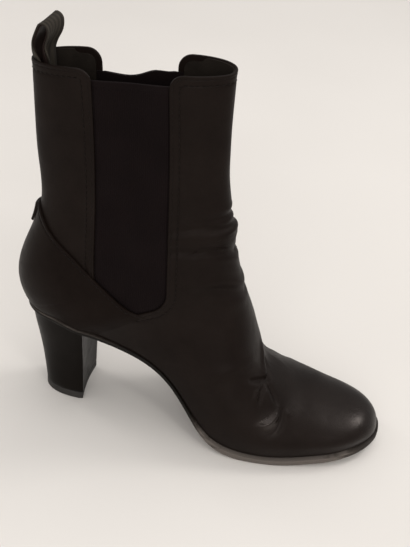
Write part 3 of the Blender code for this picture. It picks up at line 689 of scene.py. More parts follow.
def finish_mesh(name, points, faces, finish, sharp=35.0):
    """A mesh object of the boot, in metres."""
    mesh = bpy.data.meshes.new(name)
    mesh.from_pydata((leaned(points) * MM).tolist(), [], [list(map(int, face)) for face in faces])
    mesh.validate()
    mesh.update()
    mesh.materials.append(finish)
    mesh.shade_smooth()
    mesh.set_sharp_from_angle(angle=math.radians(sharp))
    made = bpy.data.objects.new(name, mesh)
    bpy.context.scene.collection.objects.link(made)
    return made


def ring_faces(rings, sides, first=0, closed=False, turned=False):
    """Faces between rings of points numbered from a first one, and the ends unless the rings close."""
    faces = []
    for i in range(rings if closed else rings - 1):
        here, there = first + i * sides, first + (i + 1) % rings * sides
        for j in range(sides):
            k = (j + 1) % sides
            quad = (here + j, here + k, there + k, there + j)
            faces.append((quad[0], *quad[:0:-1]) if turned else quad)
    if not closed:
        ends = (range(first, first + sides)[::-1], range(first + (rings - 1) * sides, first + rings * sides))
        faces.extend(tuple(end[::-1] if turned else end) for end in ends)
    return faces


def shell(name, bm, outside, under, finish, sharp=35.0):
    """A closed shell from a patch: its outside and underside are lifts, or functions of its fields."""
    bm.verts.index_update()
    normal = bm.verts.layers.float_vector["normal"]
    points = np.array([vert.co for vert in bm.verts])
    normals = unit(np.array([vert[normal] for vert in bm.verts]))
    fields = {layer.name: np.array([vert[layer] for vert in bm.verts])
              for layer in bm.verts.layers.float.values()}
    count = len(points)
    high, low = (lift(fields) if callable(lift) else np.full(count, lift) for lift in (outside, under))
    faces = [[vert.index for vert in face.verts] for face in bm.faces]
    backs = [[index + count for index in face[::-1]] for face in faces]
    rims = []
    for edge in bm.edges:
        if len(edge.link_loops) == 1:
            a = edge.link_loops[0].vert.index
            b = edge.link_loops[0].link_loop_next.vert.index
            rims.append((b, a, a + count, b + count))
    bm.free()
    whole = np.vstack((points + normals * high[:, None], points + normals * low[:, None]))
    return finish_mesh(name, whole, faces + backs + rims, finish, sharp)


def edge_round(away, radius):
    """How far a rounded edge falls away, by distance from the edge."""
    share = 1 - np.clip(away / radius, 0.0, 1.0)
    return radius * (1 - np.sqrt(1 - share * share))


def fit_to_boot(piece, slot, *nodes):
    """Ride a piece on the boot and hide the CAD nodes that it stands for; the slot that would name its finish
    is not used.
    """
    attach(piece, "root")
    if nodes:
        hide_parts(*nodes)


class Graph:
    """A procedural material under construction."""

    def __init__(self, name):
        self.material = bpy.data.materials.new(name)
        self.material.use_nodes = True
        self.tree = self.material.node_tree
        self.shader = self.tree.nodes["Principled BSDF"]
        self.place = self.add("ShaderNodeTexCoord").outputs["Object"]

    def add(self, kind, inputs=None, **settings):
        """Add a node with its settings, and its inputs as numbers or as other nodes' outputs."""
        node = self.tree.nodes.new(kind)
        for key, value in settings.items():
            setattr(node, key, value)
        self.wire(node, inputs or {})
        return node

    def wire(self, node, inputs):
        """Set or link a node's inputs."""
        for key, value in inputs.items():
            if isinstance(value, bpy.types.NodeSocket):
                self.tree.links.new(value, node.inputs[key])
            else:
                node.inputs[key].default_value = value

    def noise(self, scale, detail=4.0, rough=0.6, stretch=None):
        """A noise of some scale per metre, stretched along the axes if asked."""
        vector = self.place
        if stretch:
            vector = self.add("ShaderNodeMapping", {"Vector": vector, "Scale": stretch}).outputs["Vector"]
        settings = {"Vector": vector, "Scale": scale, "Detail": detail, "Roughness": rough}
        return self.add("ShaderNodeTexNoise", settings).outputs["Fac"]

    def ramp(self, value, stops):
        """A colour ramp through (position, colour) stops."""
        node = self.add("ShaderNodeValToRGB", {"Fac": value})
        ramp = node.color_ramp
        while len(ramp.elements) < len(stops):
            ramp.elements.new(0.5)
        for element, (position, colour) in zip(ramp.elements, stops):
            element.position = position
            element.color = (*colour, 1.0)
        return node.outputs["Color"]

    def spread(self, value, low, high, source=(0.3, 0.7)):
        """A value mapped from its usual span to another."""
        least, most = source
        settings = {"Value": value, "From Min": least, "From Max": most, "To Min": low, "To Max": high}
        return self.add("ShaderNodeMapRange", settings).outputs["Result"]

    def math(self, operation, first, second):
        """A sum, product or the like of two values."""
        return self.add("ShaderNodeMath", {0: first, 1: second}, operation=operation).outputs["Value"]

    def bump(self, height, strength, distance, under=None):
        """A bump of some distance in metres, over another one if given."""
        settings = {"Height": height, "Strength": strength, "Distance": distance}
        if under:
            settings["Normal"] = under
        return self.add("ShaderNodeBump", settings).outputs["Normal"]

    def polish_attribute(self):
        """The polish attribute at each point: gloss from wear on the leathers, and on the outsole the edge's
        lighter band and painted highlight.
        """
        return self.add("ShaderNodeAttribute", attribute_name="polish").outputs["Fac"]


def leather(name, dark, light, roughness, grain, gloss):
    """Smooth dark leather: pores and pebble, mottled colour, and a gloss that wear has polished."""
    g = Graph(name)
    mottle = g.noise(38.0, 6.0, 0.62)
    tone = g.ramp(mottle, ((0.30, dark), (0.72, light)))
    cells = g.add("ShaderNodeTexVoronoi", {"Vector": g.place, "Scale": 1250.0, "Randomness": 1.0},
                  feature="SMOOTH_F1").outputs["Distance"]
    pores = g.noise(2600.0, 3.0, 0.6)
    wrinkle = g.noise(260.0, 5.0, 0.65)
    height = g.math("ADD", g.math("MULTIPLY", cells, 0.8), g.math("MULTIPLY", pores, 0.5))
    low = g.bump(wrinkle, 0.25 * grain, 0.0006)
    normal = g.bump(height, grain, 0.00025, low)
    polish_attribute = g.polish_attribute()
    rough = g.spread(g.noise(95.0, 5.0, 0.6), roughness - 0.05, roughness + 0.09)
    rough = g.math("MAXIMUM", g.math("SUBTRACT", rough, g.math("MULTIPLY", polish_attribute, 0.17)), 0.2)
    g.wire(g.shader, {"Base Color": tone, "Roughness": rough, "Normal": normal,
                      "Specular IOR Level": g.spread(polish_attribute, gloss, gloss + 0.44, (0.0, 4.0)),
                      "Specular Tint": (1.0, 0.88, 0.83, 1.0)})
    return g.material


def surface(name, tone, stops, bumps, rough, sockets):
    """A material from noises: tone, bumps from the lowest up and roughness, with its other sockets."""
    g = Graph(name)
    source = tone(g) if callable(tone) else g.noise(*tone)
    normal = None
    for noise, strength, distance in bumps:
        normal = g.bump(g.noise(*noise), strength, distance, normal)
    noise, low, high = rough
    g.wire(g.shader, {"Base Color": g.ramp(source, stops), "Roughness": g.spread(g.noise(*noise), low, high),
                      "Normal": normal, **sockets})
    return g.material


def sole_edge_streaks_and_painted_highlight(g):
    """Streaks along the sole's edge, scaled by its polish attribute: lighter in a band along the forefoot,
    with a painted highlight along the top of the seat's edge.
    """
    return g.math("MULTIPLY", g.noise(55.0, 6.0, 0.65, (1.0, 1.0, 9.0)), g.polish_attribute())


def tape_stripes(g):
    """Fine stripes along a woven tape."""
    return g.add("ShaderNodeTexWave", {"Vector": g.place, "Scale": 135.0, "Distortion": 0.4, "Detail": 1.0},
                 wave_type="BANDS", bands_direction="Y").outputs["Fac"]


def lining(name, dark, light):
    """Soft lining leather or sock."""
    return surface(name, (70.0, 6.0, 0.65), ((0.3, dark), (0.75, light)),
                   (((160.0, 4.0), 0.2, 0.0008), ((1900.0, 3.0), 0.4, 0.0003)), ((150.0,), 0.66, 0.85),
                   {"Specular IOR Level": 0.1})


# Leathers of the upper, counter, strap, heel and loop
BROWN = ((0.0050, 0.0030, 0.0023), (0.0092, 0.0060, 0.0048))
HEEL_BROWN = ((0.0036, 0.0027, 0.0021), (0.0062, 0.0048, 0.0039))
LOOP_BROWN = ((0.0150, 0.0095, 0.0085), (0.0270, 0.0175, 0.0155))
UPPER_LEATHER = leather("upper_leather_look", *BROWN, 0.45, 0.3, 0.09)
COUNTER_LEATHER = leather("counter_leather_look", *BROWN, 0.45, 0.3, 0.05)
STRAP_LEATHER = leather("strap_leather_look", *BROWN, 0.42, 0.3, 0.09)
HEEL_LEATHER = leather("heel_leather_look", *HEEL_BROWN, 0.36, 0.12, 0.05)
LOOP_LEATHER = leather("loop_leather_look", *LOOP_BROWN, 0.55, 0.4, 0.09)

# Matte ribbed elastic with a fine weave across its ribs
GORE_ELASTIC = surface(
    "gore_elastic_look", (60.0, 5.0), ((0.3, (0.0048, 0.0026, 0.0027)), (0.75, (0.0074, 0.0044, 0.0045))),
    (((900.0, 2.0, 0.5, (1.0, 1.0, 2.4)), 0.5, 0.0003),), ((120.0,), 0.82, 0.95),
    {"Specular IOR Level": 0.07, "Sheen Weight": 0.02, "Sheen Roughness": 0.5})

# Trimmed sole edge: dark, lighter grey-brown in a band along the forefoot, a painted highlight along the top
# of the seat's edge, and scuffed
SOLE_EDGE = surface(
    "sole_edge_look", sole_edge_streaks_and_painted_highlight,
    ((0.08, (0.0050, 0.0038, 0.0030)), (0.34, (0.030, 0.024, 0.020)), (0.62, (0.125, 0.107, 0.094))),
    (((240.0, 4.0), 0.3, 0.0006), ((1500.0, 3.0, 0.6, (0.4, 0.4, 2.0)), 0.35, 0.0003)), ((90.0,), 0.45, 0.68),
    {"Specular IOR Level": 0.14})

# Matte black tread
TREAD_RUBBER = surface(
    "tread_rubber_look", (140.0, 5.0), ((0.3, (0.016, 0.014, 0.013)), (0.75, (0.034, 0.031, 0.028))),
    (((1400.0, 3.0), 0.4, 0.0003),), ((200.0,), 0.6, 0.8), {"Specular IOR Level": 0.35})

LINING = lining("lining_look", (0.0100, 0.0076, 0.0058), (0.0210, 0.0160, 0.0124))
SOCK = lining("sock_look", (0.0100, 0.0074, 0.0056), (0.0220, 0.0168, 0.0132))

# Woven tape with fine stripes along it
TAPE = surface(
    "loop_tape_look", tape_stripes, ((0.25, (0.0150, 0.0115, 0.0084)), (0.75, (0.031, 0.0245, 0.0175))),
    (((1500.0, 2.0, 0.5, (1.0, 1.0, 3.0)), 0.5, 0.0003),), ((200.0,), 0.7, 0.9), {"Specular IOR Level": 0.3})

# Waxed sewing thread
THREAD = surface(
    "thread_look", (700.0, 2.0), ((0.3, (0.0055, 0.0036, 0.0028)), (0.7, (0.0115, 0.0080, 0.0064))),
    (((2600.0, 2.0, 0.5, (1.0, 1.0, 1.6)), 0.5, 0.0002),), ((400.0,), 0.42, 0.6), {"Specular IOR Level": 0.1})

# Polished gold plating with fine handling marks
GOLD = surface(
    "gold_look", (220.0, 4.0), ((0.3, (0.60, 0.45, 0.19)), (0.75, (0.86, 0.70, 0.40))),
    (((1300.0, 2.0, 0.5, (1.0, 3.0, 1.0)), 0.06, 0.0002),), ((380.0, 5.0), 0.16, 0.34), {"Metallic": 1.0})

# Plain pale floor
FLOOR = surface(
    "floor_look", (1.6, 3.0), ((0.3, (0.74, 0.705, 0.67)), (0.7, (0.79, 0.755, 0.72))),
    (((60.0, 4.0), 0.02, 0.002),), ((3.0,), 0.62, 0.74), {"Specular IOR Level": 0.25})

SKIN = creased_skin(SKIN_STEP, SKIN_HALF_COLUMNS)
SKIN_TREE = BVHTree.FromPolygons(SKIN.points.tolist(), SKIN.tris.tolist())


def side_point(x, z, side):
    """The point of the creased skin over (x, z) on one side, and its smooth normal."""
    spot, _, index, _ = SKIN_TREE.ray_cast(Vector((x, side * 2 * BALL_WIDTH, z)), Vector((0.0, -side, 0.0)))
    corners = SKIN.tris[index]
    a, b, c = SKIN.points[corners]
    spot = np.array(spot)
    shares = np.linalg.lstsq(np.stack((b - a, c - a), axis=1), spot - a, rcond=None)[0]
    normal = SKIN.normals[corners[0]] * (1 - shares.sum()) + shares @ SKIN.normals[corners[1:]]
    return spot, normal / np.linalg.norm(normal)


def polish(piece, values):
    """Give a piece its polish attribute, point by point or all over: gloss and wear on the leathers, and on
    the outsole the edge's colour with its painted highlight.
    """
    data = piece.data.attributes.new("polish", "FLOAT", "POINT")
    data.data.foreach_set("value", np.zeros(len(data.data), np.float32) + np.asarray(values, np.float32))


# Wear of the vamp and toe: how much, where it sets in along the boot, and below what height
VAMP_WORN = 0.1
VAMP_WORN_X = (80.0, 115.0)
TOE_WORN = 0.7
TOE_WORN_X = (155.0, 200.0)
WORN_Z = (66.0, 40.0)

# Places that wear has polished most: where, how far round and how much
Shine = namedtuple("Shine", "at reach polish")
SHINES = (Shine((138.0, -36.5, 30.0), 5.5, 3.5), Shine((195.6, -11.7, 24.6), 8.0, 0.9))


def upper_polish(points):
    """Wear polish: the toe most, the vamp and ball more than the shaft, and single places."""
    x, _, z = points.T
    polish_attribute = smooth(*WORN_Z, z) * (VAMP_WORN * smooth(*VAMP_WORN_X, x) + TOE_WORN * smooth(*TOE_WORN_X, x))
    for shine in SHINES:
        polish_attribute += shine.polish * bell(np.linalg.norm(points - shine.at, axis=1), 0.0, shine.reach)
    return polish_attribute


def piece_points(piece):
    """A piece's points in millimetres."""
    flat = np.empty(len(piece.data.vertices) * 3)
    piece.data.vertices.foreach_get("co", flat)
    return flat.reshape(-1, 3) / MM


# Edge finish of the upper, by distance from its rim and gores: folded edge and two rows of stitches
STITCH_ROWS = (1.9, 5.4)
EDGE_LEVELS = (0.25, 0.6, 1.1, 1.5, STITCH_ROWS[0], 2.3, 3.0, 4.9, STITCH_ROWS[1], 5.9)


def upper_outside(fields):
    """Lift of the upper's outside: rounded edge, folded hem, stitch troughs, and the tuck at the sole."""
    edge = fields["edge"]
    hem = 0.28 * smooth(3.2, 2.2, edge) - edge_round(edge, 0.6)
    rows = sum(bell(edge, row, 0.45) for row in STITCH_ROWS)
    tuck = 0.9 * np.exp(-np.maximum(fields["sole"], 0.0) / 1.1)
    return hem - 0.3 * rows - tuck


def upper_inside(fields):
    """Lift of the upper's inside, rounded at its edge."""
    return LEATHER_INSIDE + edge_round(fields["edge"], 0.35)


# A stitch is a bent bar of thread
STITCH_LENGTH = 2.3
STITCH_GAP = 1.0
STITCH_RADIUS = 0.27
STITCH_RINGS = 5
STITCH_SIDES = 6
STITCH_SUNK = 0.1


def stitch_mesh(name, rows, lift, slot):
    """Stitches along polylines lifted along their normals, as one joined mesh."""
    points, faces = [], []
    turns = np.linspace(0.0, 2 * math.pi, STITCH_SIDES, endpoint=False)
    shares = np.linspace(0.0, 1.0, STITCH_RINGS)
    arch = np.sin(np.pi * shares) ** 0.5
    thick = STITCH_RADIUS * (0.45 + 0.55 * arch)
    for line, normals in rows:
        line = line + normals * lift
        run = path_run(line)
        for start in np.arange(STITCH_GAP, run[-1] - STITCH_LENGTH, STITCH_LENGTH + STITCH_GAP):
            middle, up = (sample(part, run, start + shares * STITCH_LENGTH) for part in (line, normals))
            up = unit(up)
            ahead = middle[-1] - middle[0]
            across = np.cross(ahead / np.linalg.norm(ahead), up)
            middle = middle + up * (STITCH_RADIUS * (1.1 * arch - 0.7))[:, None]
            faces += ring_faces(STITCH_RINGS, STITCH_SIDES, len(points))
            for spot, wide, side, top in zip(middle, thick, across, up):
                points.extend(spot + wide * (np.cos(turns)[:, None] * side + np.sin(turns)[:, None] * top))
    fit_to_boot(finish_mesh(name, points, faces, THREAD, 60.0), slot)


def make_upper():
    """The leather upper, with its edges round the collar and gores, and their stitches."""
    points = SKIN.points
    notch = notch_distance(points)
    fields = {"notch": notch, "edge": np.minimum(notch, rim_distance(points)), "sole": sole_distance(points)}
    bm, cuts = cut_patch(SKIN, fields, ("notch",), EDGE_LEVELS)
    rows = [line for level in STITCH_ROWS for line in cuts[level]]
    upper = shell("upper_shell", bm, upper_outside, upper_inside, UPPER_LEATHER)
    polish(upper, upper_polish(piece_points(upper)))
    fit_to_boot(upper, "upper_leather", "upper")
    stitch_mesh("upper_stitches", rows, -STITCH_SUNK, "upper_leather")


# How far the lining stays back from the gores and below the rim
LINING_BACK = 3.3
LINING_BELOW = 0.6


def make_lining():
    """Lining inside the upper, a little below its rim and back from the gores."""
    skin = creased_skin(LINING_STEP, LINING_HALF_COLUMNS)
    edge = np.minimum(notch_distance(skin.points) - LINING_BACK, rim_distance(skin.points) - LINING_BELOW)
    bm, _ = cut_patch(skin, {"edge": edge}, ("edge",), ())
    fit_to_boot(shell("upper_lining", bm, LINING_OUTSIDE, LINING_INSIDE, LINING), "insole_lining")


# Elastic panel: its grid, lowest height, hidden margin, ribs, bound edge and inside
GORE_COLUMNS = 210
GORE_ROWS = 64
GORE_LOW = 83.0
GORE_UNDER = 3.0
GORE_RIBS = 36
GORE_BAND = 3.2
GORE_INSIDE = -1.95


def gore_top(x, side):
    """Height of the elastic's top edge, which hangs slack between the leather panels."""
    share = (x - GORE_BACK_TOP) / (GORE_FRONT_TOP - GORE_BACK_TOP)
    if side < 0:
        return rim_height(x) - GORE_DROP_MEDIAL - 1.2 * np.sin(np.pi * np.clip(share, 0.0, 1.0))
    return rim_height(x) - GORE_DROP_LATERAL + 3.4 * bell(share, 0.72, 0.2) + 2.2 * bell(share, 1.05, 0.16)


def gore_skin(side):
    """The elastic's place on the skin as a fine grid, and each point's share across the ribs."""
    tops = []
    for corner, top_x in ((GORE_CORNERS[0], GORE_BACK_TOP), (GORE_CORNERS[-1], GORE_FRONT_TOP)):
        top_z = rim_height(top_x)
        tops.append((top_x, (corner[0] - top_x) / (corner[1] - top_z), top_z))
    across = np.linspace(-0.09, 1.09, GORE_COLUMNS)
    points, normals = [], []
    for share in np.linspace(0.0, 1.0, GORE_ROWS):
        for a in across:
            top_x = tops[0][0] + a * (tops[1][0] - tops[0][0])
            z = GORE_LOW + share * (gore_top(top_x, side) - GORE_LOW)
            edges = [x + slope * (z - top_z) for x, slope, top_z in tops]
            spot, normal = side_point(edges[0] + a * (edges[1] - edges[0]), z, side)
            points.append(spot)
            normals.append(normal)
    points, normals = np.array(points), np.array(normals)
    tris = grid_tris(GORE_ROWS, GORE_COLUMNS, normals, points)
    return Skin(points, normals, tris), np.tile(across, GORE_ROWS)


def make_gore(node, side):
    """One elastic panel: ribbed, dipping under the leather round it, with a bound top edge."""
    skin, share = gore_skin(side)
    notch = notch_distance(skin.points)
    top = gore_top(skin.points[:, 0], side) - skin.points[:, 2]
    fields = {"under": GORE_UNDER - notch, "notch": notch, "top": top, "rib": share * GORE_RIBS}
    bm, _ = cut_patch(skin, fields, ("under",), (0.5, GORE_BAND - 0.3, GORE_BAND + 0.3), along="top")

    def outside(values):
        dip = 0.75 * smooth(-2.0, 0.3, values["notch"])
        band = smooth(GORE_BAND + 0.3, GORE_BAND - 0.3, values["top"])
        ribs = 0.14 * np.cos(2 * np.pi * values["rib"]) * (1 - 0.8 * band)
        return -0.75 - dip + ribs + 0.3 * band - edge_round(values["top"], 0.5)

    fit_to_boot(shell(node + "_panel", bm, outside, GORE_INSIDE, GORE_ELASTIC, 70.0), "gore_elastic", node)


# The counter's stitches, its part of the skin, and where it fades into the upper
COUNTER_STITCH = 2.1
COUNTER_LEVELS = (0.25, 0.6, 1.2, 1.7, COUNTER_STITCH, 2.5, 3.2)
COUNTER_STITCH_END = 45.0
COUNTER_FRONT = 88.0
COUNTER_LOWEST = 15.0
COUNTER_FADE_AT = (32.0, 92.0)
COUNTER_FADE_RUN = 22.0


def make_counter():
    """The counter, proud of the upper, with a rounded edge and a row of stitches inside it."""
    points = SKIN.points
    x, _, z = points.T
    keep = (x < COUNTER_FRONT) & (z > COUNTER_LOWEST)
    fade_x, fade_z = COUNTER_FADE_AT
    raised = 1 - smooth(0.0, COUNTER_FADE_RUN, 0.6 * (x - fade_x) + 0.8 * (fade_z - z))
    fields = {"edge": counter_distance(points), "sole": sole_distance(points) - 0.2, "raised": raised}
    bm, cuts = cut_patch(SKIN, fields, ("edge", "sole"), COUNTER_LEVELS, keep=keep)
    rows = []
    for line, normals in cuts[COUNTER_STITCH]:
        behind = line[:, 0] < COUNTER_STITCH_END
        rows.append((line[behind], normals[behind]))

    def outside(values):
        bead = 0.3 * smooth(2.2, 0.9, values["edge"]) - edge_round(values["edge"], 0.6)
        trough = 0.3 * bell(values["edge"], COUNTER_STITCH, 0.45)
        tuck = 0.5 * np.exp(-np.maximum(values["sole"], 0.0) / 1.1)
        whole = COUNTER_LIFTS[1] + bead - trough - tuck
        return whole * values["raised"] - COUNTER_DIVE * (1 - values["raised"])

    def under(values):
        return COUNTER_LIFTS[0] - 2 * COUNTER_DIVE * (1 - values["raised"])

    counter = shell("counter_piece", bm, outside, under, COUNTER_LEATHER)
    polish(counter, 0.25 * smooth(10.0, -20.0, piece_points(counter)[:, 0]))
    fit_to_boot(counter, "counter_leather", "counter")
    stitch_mesh("counter_stitches", rows, COUNTER_LIFTS[1] - STITCH_SUNK, "counter_leather")


# The strap's part of the skin, its polish, the cuts along its edge and the crease there
STRAP_FRONT = 60.0
STRAP_LOWEST = 40.0
STRAP_POLISH = 0.4
STRAP_LEVELS = (0.25, 0.6, 1.1, 1.5, 1.9)
STRAP_CREASE = (1.5, 0.35)


def make_strap():
    """The strap over the counter on the outer side, with creased edges."""
    points = SKIN.points
    x, y, z = points.T
    keep = (x < STRAP_FRONT) & (z > STRAP_LOWEST) & (y > -STRAP_WRAP - 4.0)
    fields = {"edge": strap_distance(points), "sole": sole_distance(points) - 0.3}
    bm, _ = cut_patch(SKIN, fields, ("edge", "sole"), (*STRAP_LEVELS, 2.6), keep=keep)

    def outside(values):
        return STRAP_LIFTS[1] - edge_round(values["edge"], 0.7) - 0.28 * bell(values["edge"], *STRAP_CREASE)

    strap = shell("strap_band", bm, outside, STRAP_LIFTS[0], STRAP_LEATHER)
    polish(strap, STRAP_POLISH)
    fit_to_boot(strap, "strap_leather", "strap")


# Hardware: places as shares of the strap's course, sizes, and the half sizes of each bar's section
BUCKLE_AT = 0.545
BUCKLE_LENGTH = 23.0
BUCKLE_WIDTH = 20.0
BUCKLE_CORNER = 6.0
BUCKLE_HALF = (1.45, 1.05)
PRONG_RADIUS = 0.85
KEEPER_AT = 0.73
KEEPER_REACH = 7.9
KEEPER_HALF = (1.35, 0.75)
BAR_SIDES = 12

# The strap's folded end, from the buckle's middle on
STRAP_FOLD_SPAN = (3.6, 18.5)
STRAP_FOLD_WIDTH = 11.8
STRAP_FOLD_REACH = 2.7
STRAP_FOLD_RISE = 2.3
STRAP_AT = [spline(np.linspace(0.0, 1.0, len(STRAP_COURSE)), STRAP_COURSE[:, k]) for k in range(2)]


def on_strap(share, along, across, lift):
    """A point over the strap's outside, from its place on the middle line and local offsets."""
    middle = np.array([line(share) for line in STRAP_AT])
    tangent = np.array([line(share + 0.01) - line(share - 0.01) for line in STRAP_AT])
    tangent /= np.linalg.norm(tangent)
    x, z = middle + tangent * along + np.array((-tangent[1], tangent[0])) * across
    spot, normal = side_point(x, z, 1)
    return spot + normal * (STRAP_LIFTS[1] + lift), normal


def sweep(name, spots, half, closed=False, taper=1.0):
    """A gold bar of oval section along points with normals, wide across them and flatter above."""
    path, ups = (np.array(part) for part in zip(*spots))
    ahead = round_directions(path) if closed else unit(np.gradient(path, axis=0))
    across = unit(np.cross(ahead, ups))
    ups = np.cross(across, ahead)
    turns = np.linspace(0.0, 2 * math.pi, BAR_SIDES, endpoint=False)
    wide, high = (np.sign(part) * np.abs(part) ** 0.8 for part in (np.cos(turns), np.sin(turns)))
    oval = half[0] * wide[None, :, None] * across[:, None] + half[1] * high[None, :, None] * ups[:, None]
    rings = path[:, None] + np.broadcast_to(taper, len(path))[:, None, None] * oval
    faces = ring_faces(len(path), BAR_SIDES, closed=closed, turned=True)
    return finish_mesh(name, rings.reshape(-1, 3), faces, GOLD, 50.0)


def make_strap_fold(bar):
    """The strap's end, folded over the buckle's lower bar."""
    runs = np.linspace(*STRAP_FOLD_SPAN, 40)
    across = np.linspace(-0.5, 0.5, 15) * STRAP_FOLD_WIDTH
    spots = [on_strap(BUCKLE_AT, run, c, 0.0) for run in runs for c in across]
    points, normals = (np.array(part) for part in zip(*spots))
    tris = grid_tris(len(runs), len(across), normals, points)
    ends = np.minimum(runs - STRAP_FOLD_SPAN[0], STRAP_FOLD_SPAN[1] - runs)
    edge = np.minimum(ends[:, None], STRAP_FOLD_WIDTH / 2 - np.abs(across)[None]).ravel()
    hump = np.repeat(bell(runs, bar, STRAP_FOLD_REACH), len(across))
    skin = Skin(points, normals, tris)
    bm, _ = cut_patch(skin, {"edge": edge, "hump": hump}, (), STRAP_LEVELS)

    def outside(values):
        line = 0.25 * bell(values["edge"], *STRAP_CREASE)
        return 1.0 + STRAP_FOLD_RISE * values["hump"] - edge_round(values["edge"], 0.6) - line

    def under(values):
        return STRAP_FOLD_RISE * values["hump"] - 0.1

    fold = shell("strap_fold", bm, outside, under, STRAP_LEATHER)
    polish(fold, STRAP_POLISH)
    fit_to_boot(fold, "strap_leather")


def make_buckle():
    """Gold buckle frame with the strap's fold over it and its prong, and the keeper bar below."""
    along = BUCKLE_LENGTH / 2 - BUCKLE_HALF[0]
    across = BUCKLE_WIDTH / 2 - BUCKLE_HALF[0]
    corners = [(a * along, c * across, BUCKLE_CORNER) for a, c in ((-1, -1), (1, -1), (1, 1), (-1, 1))]
    outline = rounded(corners, 12)
    outline = evenly(np.vstack((outline, outline[:1])), 72)[:-1]
    spots = [on_strap(BUCKLE_AT, a, c, BUCKLE_HALF[1] + 0.25) for a, c in outline]
    ring = sweep("buckle_ring", spots, BUCKLE_HALF, closed=True)
    fit_to_boot(ring, "gold_metal", "buckle_frame")
    make_strap_fold(along)

    shares = np.linspace(0.0, 1.0, 24)
    places = -along - 0.6 + shares * (2 * along + 1.6)
    lifts = 1.9 - 0.9 * np.sin(np.pi * shares) + 0.7 * smooth(0.75, 1.0, shares)
    spots = [on_strap(BUCKLE_AT, a, 0.0, lift) for a, lift in zip(places, lifts)]
    taper = 1.15 - 0.35 * shares
    taper[0] = taper[-1] = 0.45
    prong = sweep("buckle_tongue", spots, (PRONG_RADIUS, PRONG_RADIUS), taper=taper)
    fit_to_boot(prong, "gold_metal", "buckle_prong")

    places = np.linspace(-KEEPER_REACH, KEEPER_REACH, 28)
    fall = 1.5 * smooth(KEEPER_REACH - 1.8, KEEPER_REACH, np.abs(places))
    spots = [on_strap(KEEPER_AT, 0.0, c, KEEPER_HALF[1] + 0.15 - drop) for c, drop in zip(places, fall)]
    taper = np.ones(len(places))
    taper[0] = taper[-1] = 0.6
    keeper = sweep("keeper_bar", spots, KEEPER_HALF, taper=taper)
    fit_to_boot(keeper, "gold_metal", "strap_keeper")


# Pull loop seen from the side, its width, and how it bends in the collar and turns above it
LOOP_LINE = ((-17.6, 217.0), (-18.2, 226.0), (-20.2, 232.8), (-17.7, 242.5), (-14.2, 248.8), (-11.7, 251.2),
             (-9.8, 250.1), (-9.5, 247.0), (-10.9, 243.0), (-13.6, 238.0), (-14.9, 231.0), (-14.6, 224.0),
             (-14.2, 217.0))
LOOP_WIDTH = 10.8
LOOP_FLARE = 1.2
LOOP_TOP = 251.2
LOOP_BEND = 5.0
LOOP_TURN = 2.5
LOOP_TILT = 0.9
LOOP_LEVELS = (0.25, 0.6, 1.2, 1.6, 2.0)


def loop_skin():
    """The pull loop's middle surface, bent in the collar and turned above it, and distances from its edge."""
    line = smooth_line(LOOP_LINE, 80)
    across = np.linspace(-1.0, 1.0, 15)
    grid = []
    for x, z in line:
        risen = float(np.clip((z - COLLAR_HEIGHT) / (LOOP_TOP - COLLAR_HEIGHT), 0.0, 1.0))
        shift = LOOP_BEND * across ** 2 * (1 - risen) + LOOP_TURN * across * smooth(0.0, 0.6, risen)
        half = LOOP_WIDTH / 2 + LOOP_FLARE * smooth(0.0, 0.5, risen)
        grid.append(np.stack((x + shift, across * half, z + LOOP_TILT * across * risen), axis=1))
    points = np.array(grid).reshape(-1, 3)
    outward = points - points.mean(axis=0)
    tris = grid_tris(len(line), len(across), outward, points)
    edge = np.tile(LOOP_WIDTH / 2 * (1 - np.abs(across)), len(line))
    return Skin(points, vertex_normals(points, tris), tris), edge


def make_pull_loop():
    """Pull loop: a striped woven tape outside, backed with leather."""
    skin, edge = loop_skin()
    for name, finish, high, low, shrink, nodes in (
            ("pull_loop_tape", TAPE, 0.9, 0.0, 0.0, ("pull_loop",)),
            ("pull_loop_leather", LOOP_LEATHER, -0.06, -0.8, 0.5, ())):
        trims = ("edge",) if shrink else ()
        bm, _ = cut_patch(skin, {"edge": edge - shrink}, trims, LOOP_LEVELS)

        def outside(values, high=high):
            return high - edge_round(values["edge"], 0.35) - 0.15 * bell(values["edge"], 1.6, 0.3)

        def under(values, low=low):
            return low + edge_round(values["edge"], 0.25)

        fit_to_boot(shell(name, bm, outside, under, finish), "loop_leather", *nodes)


def sole_thickness(x):
    """Thin under the seat and waist, full under the forefoot."""
    return SOLE_WAIST + (SOLE_FORE - SOLE_WAIST) * smooth(*SOLE_CHANGE, x)


def sole_top(x):
    """Height of the outsole's top."""
    return profile_height(x) - SOLE_GAP


def sole_bottom(x):
    """Height of the outsole's bottom, level where it meets the floor."""
    return np.maximum(0.0, profile_height(x) - sole_thickness(x))


def foot_outline():
    """The upper's edge at the sole in plan: inner side from back to front, then the outer side back."""
    shares = 0.5 - 0.5 * np.cos(np.linspace(0.004, math.pi - 0.004, 700))
    trial = SOLE_BACK + (SOLE_FRONT - SOLE_BACK) * shares
    halves = []
    for side in (-1, 1):
        edge = np.array([trimmed_half(t, side, 0.0)[0, :2] for t in trial])
        halves.append(evenly(edge, 170))
    return np.vstack((halves[0], halves[1][::-1]))


FOOT_OUTLINE = foot_outline()


def moved_outline(margin):
    """The foot's outline moved outwards in plan."""
    tangent = round_directions(FOOT_OUTLINE)
    outward = np.stack((tangent[:, 1], -tangent[:, 0]), axis=1)
    return FOOT_OUTLINE + outward * np.asarray(margin).reshape(-1, 1)


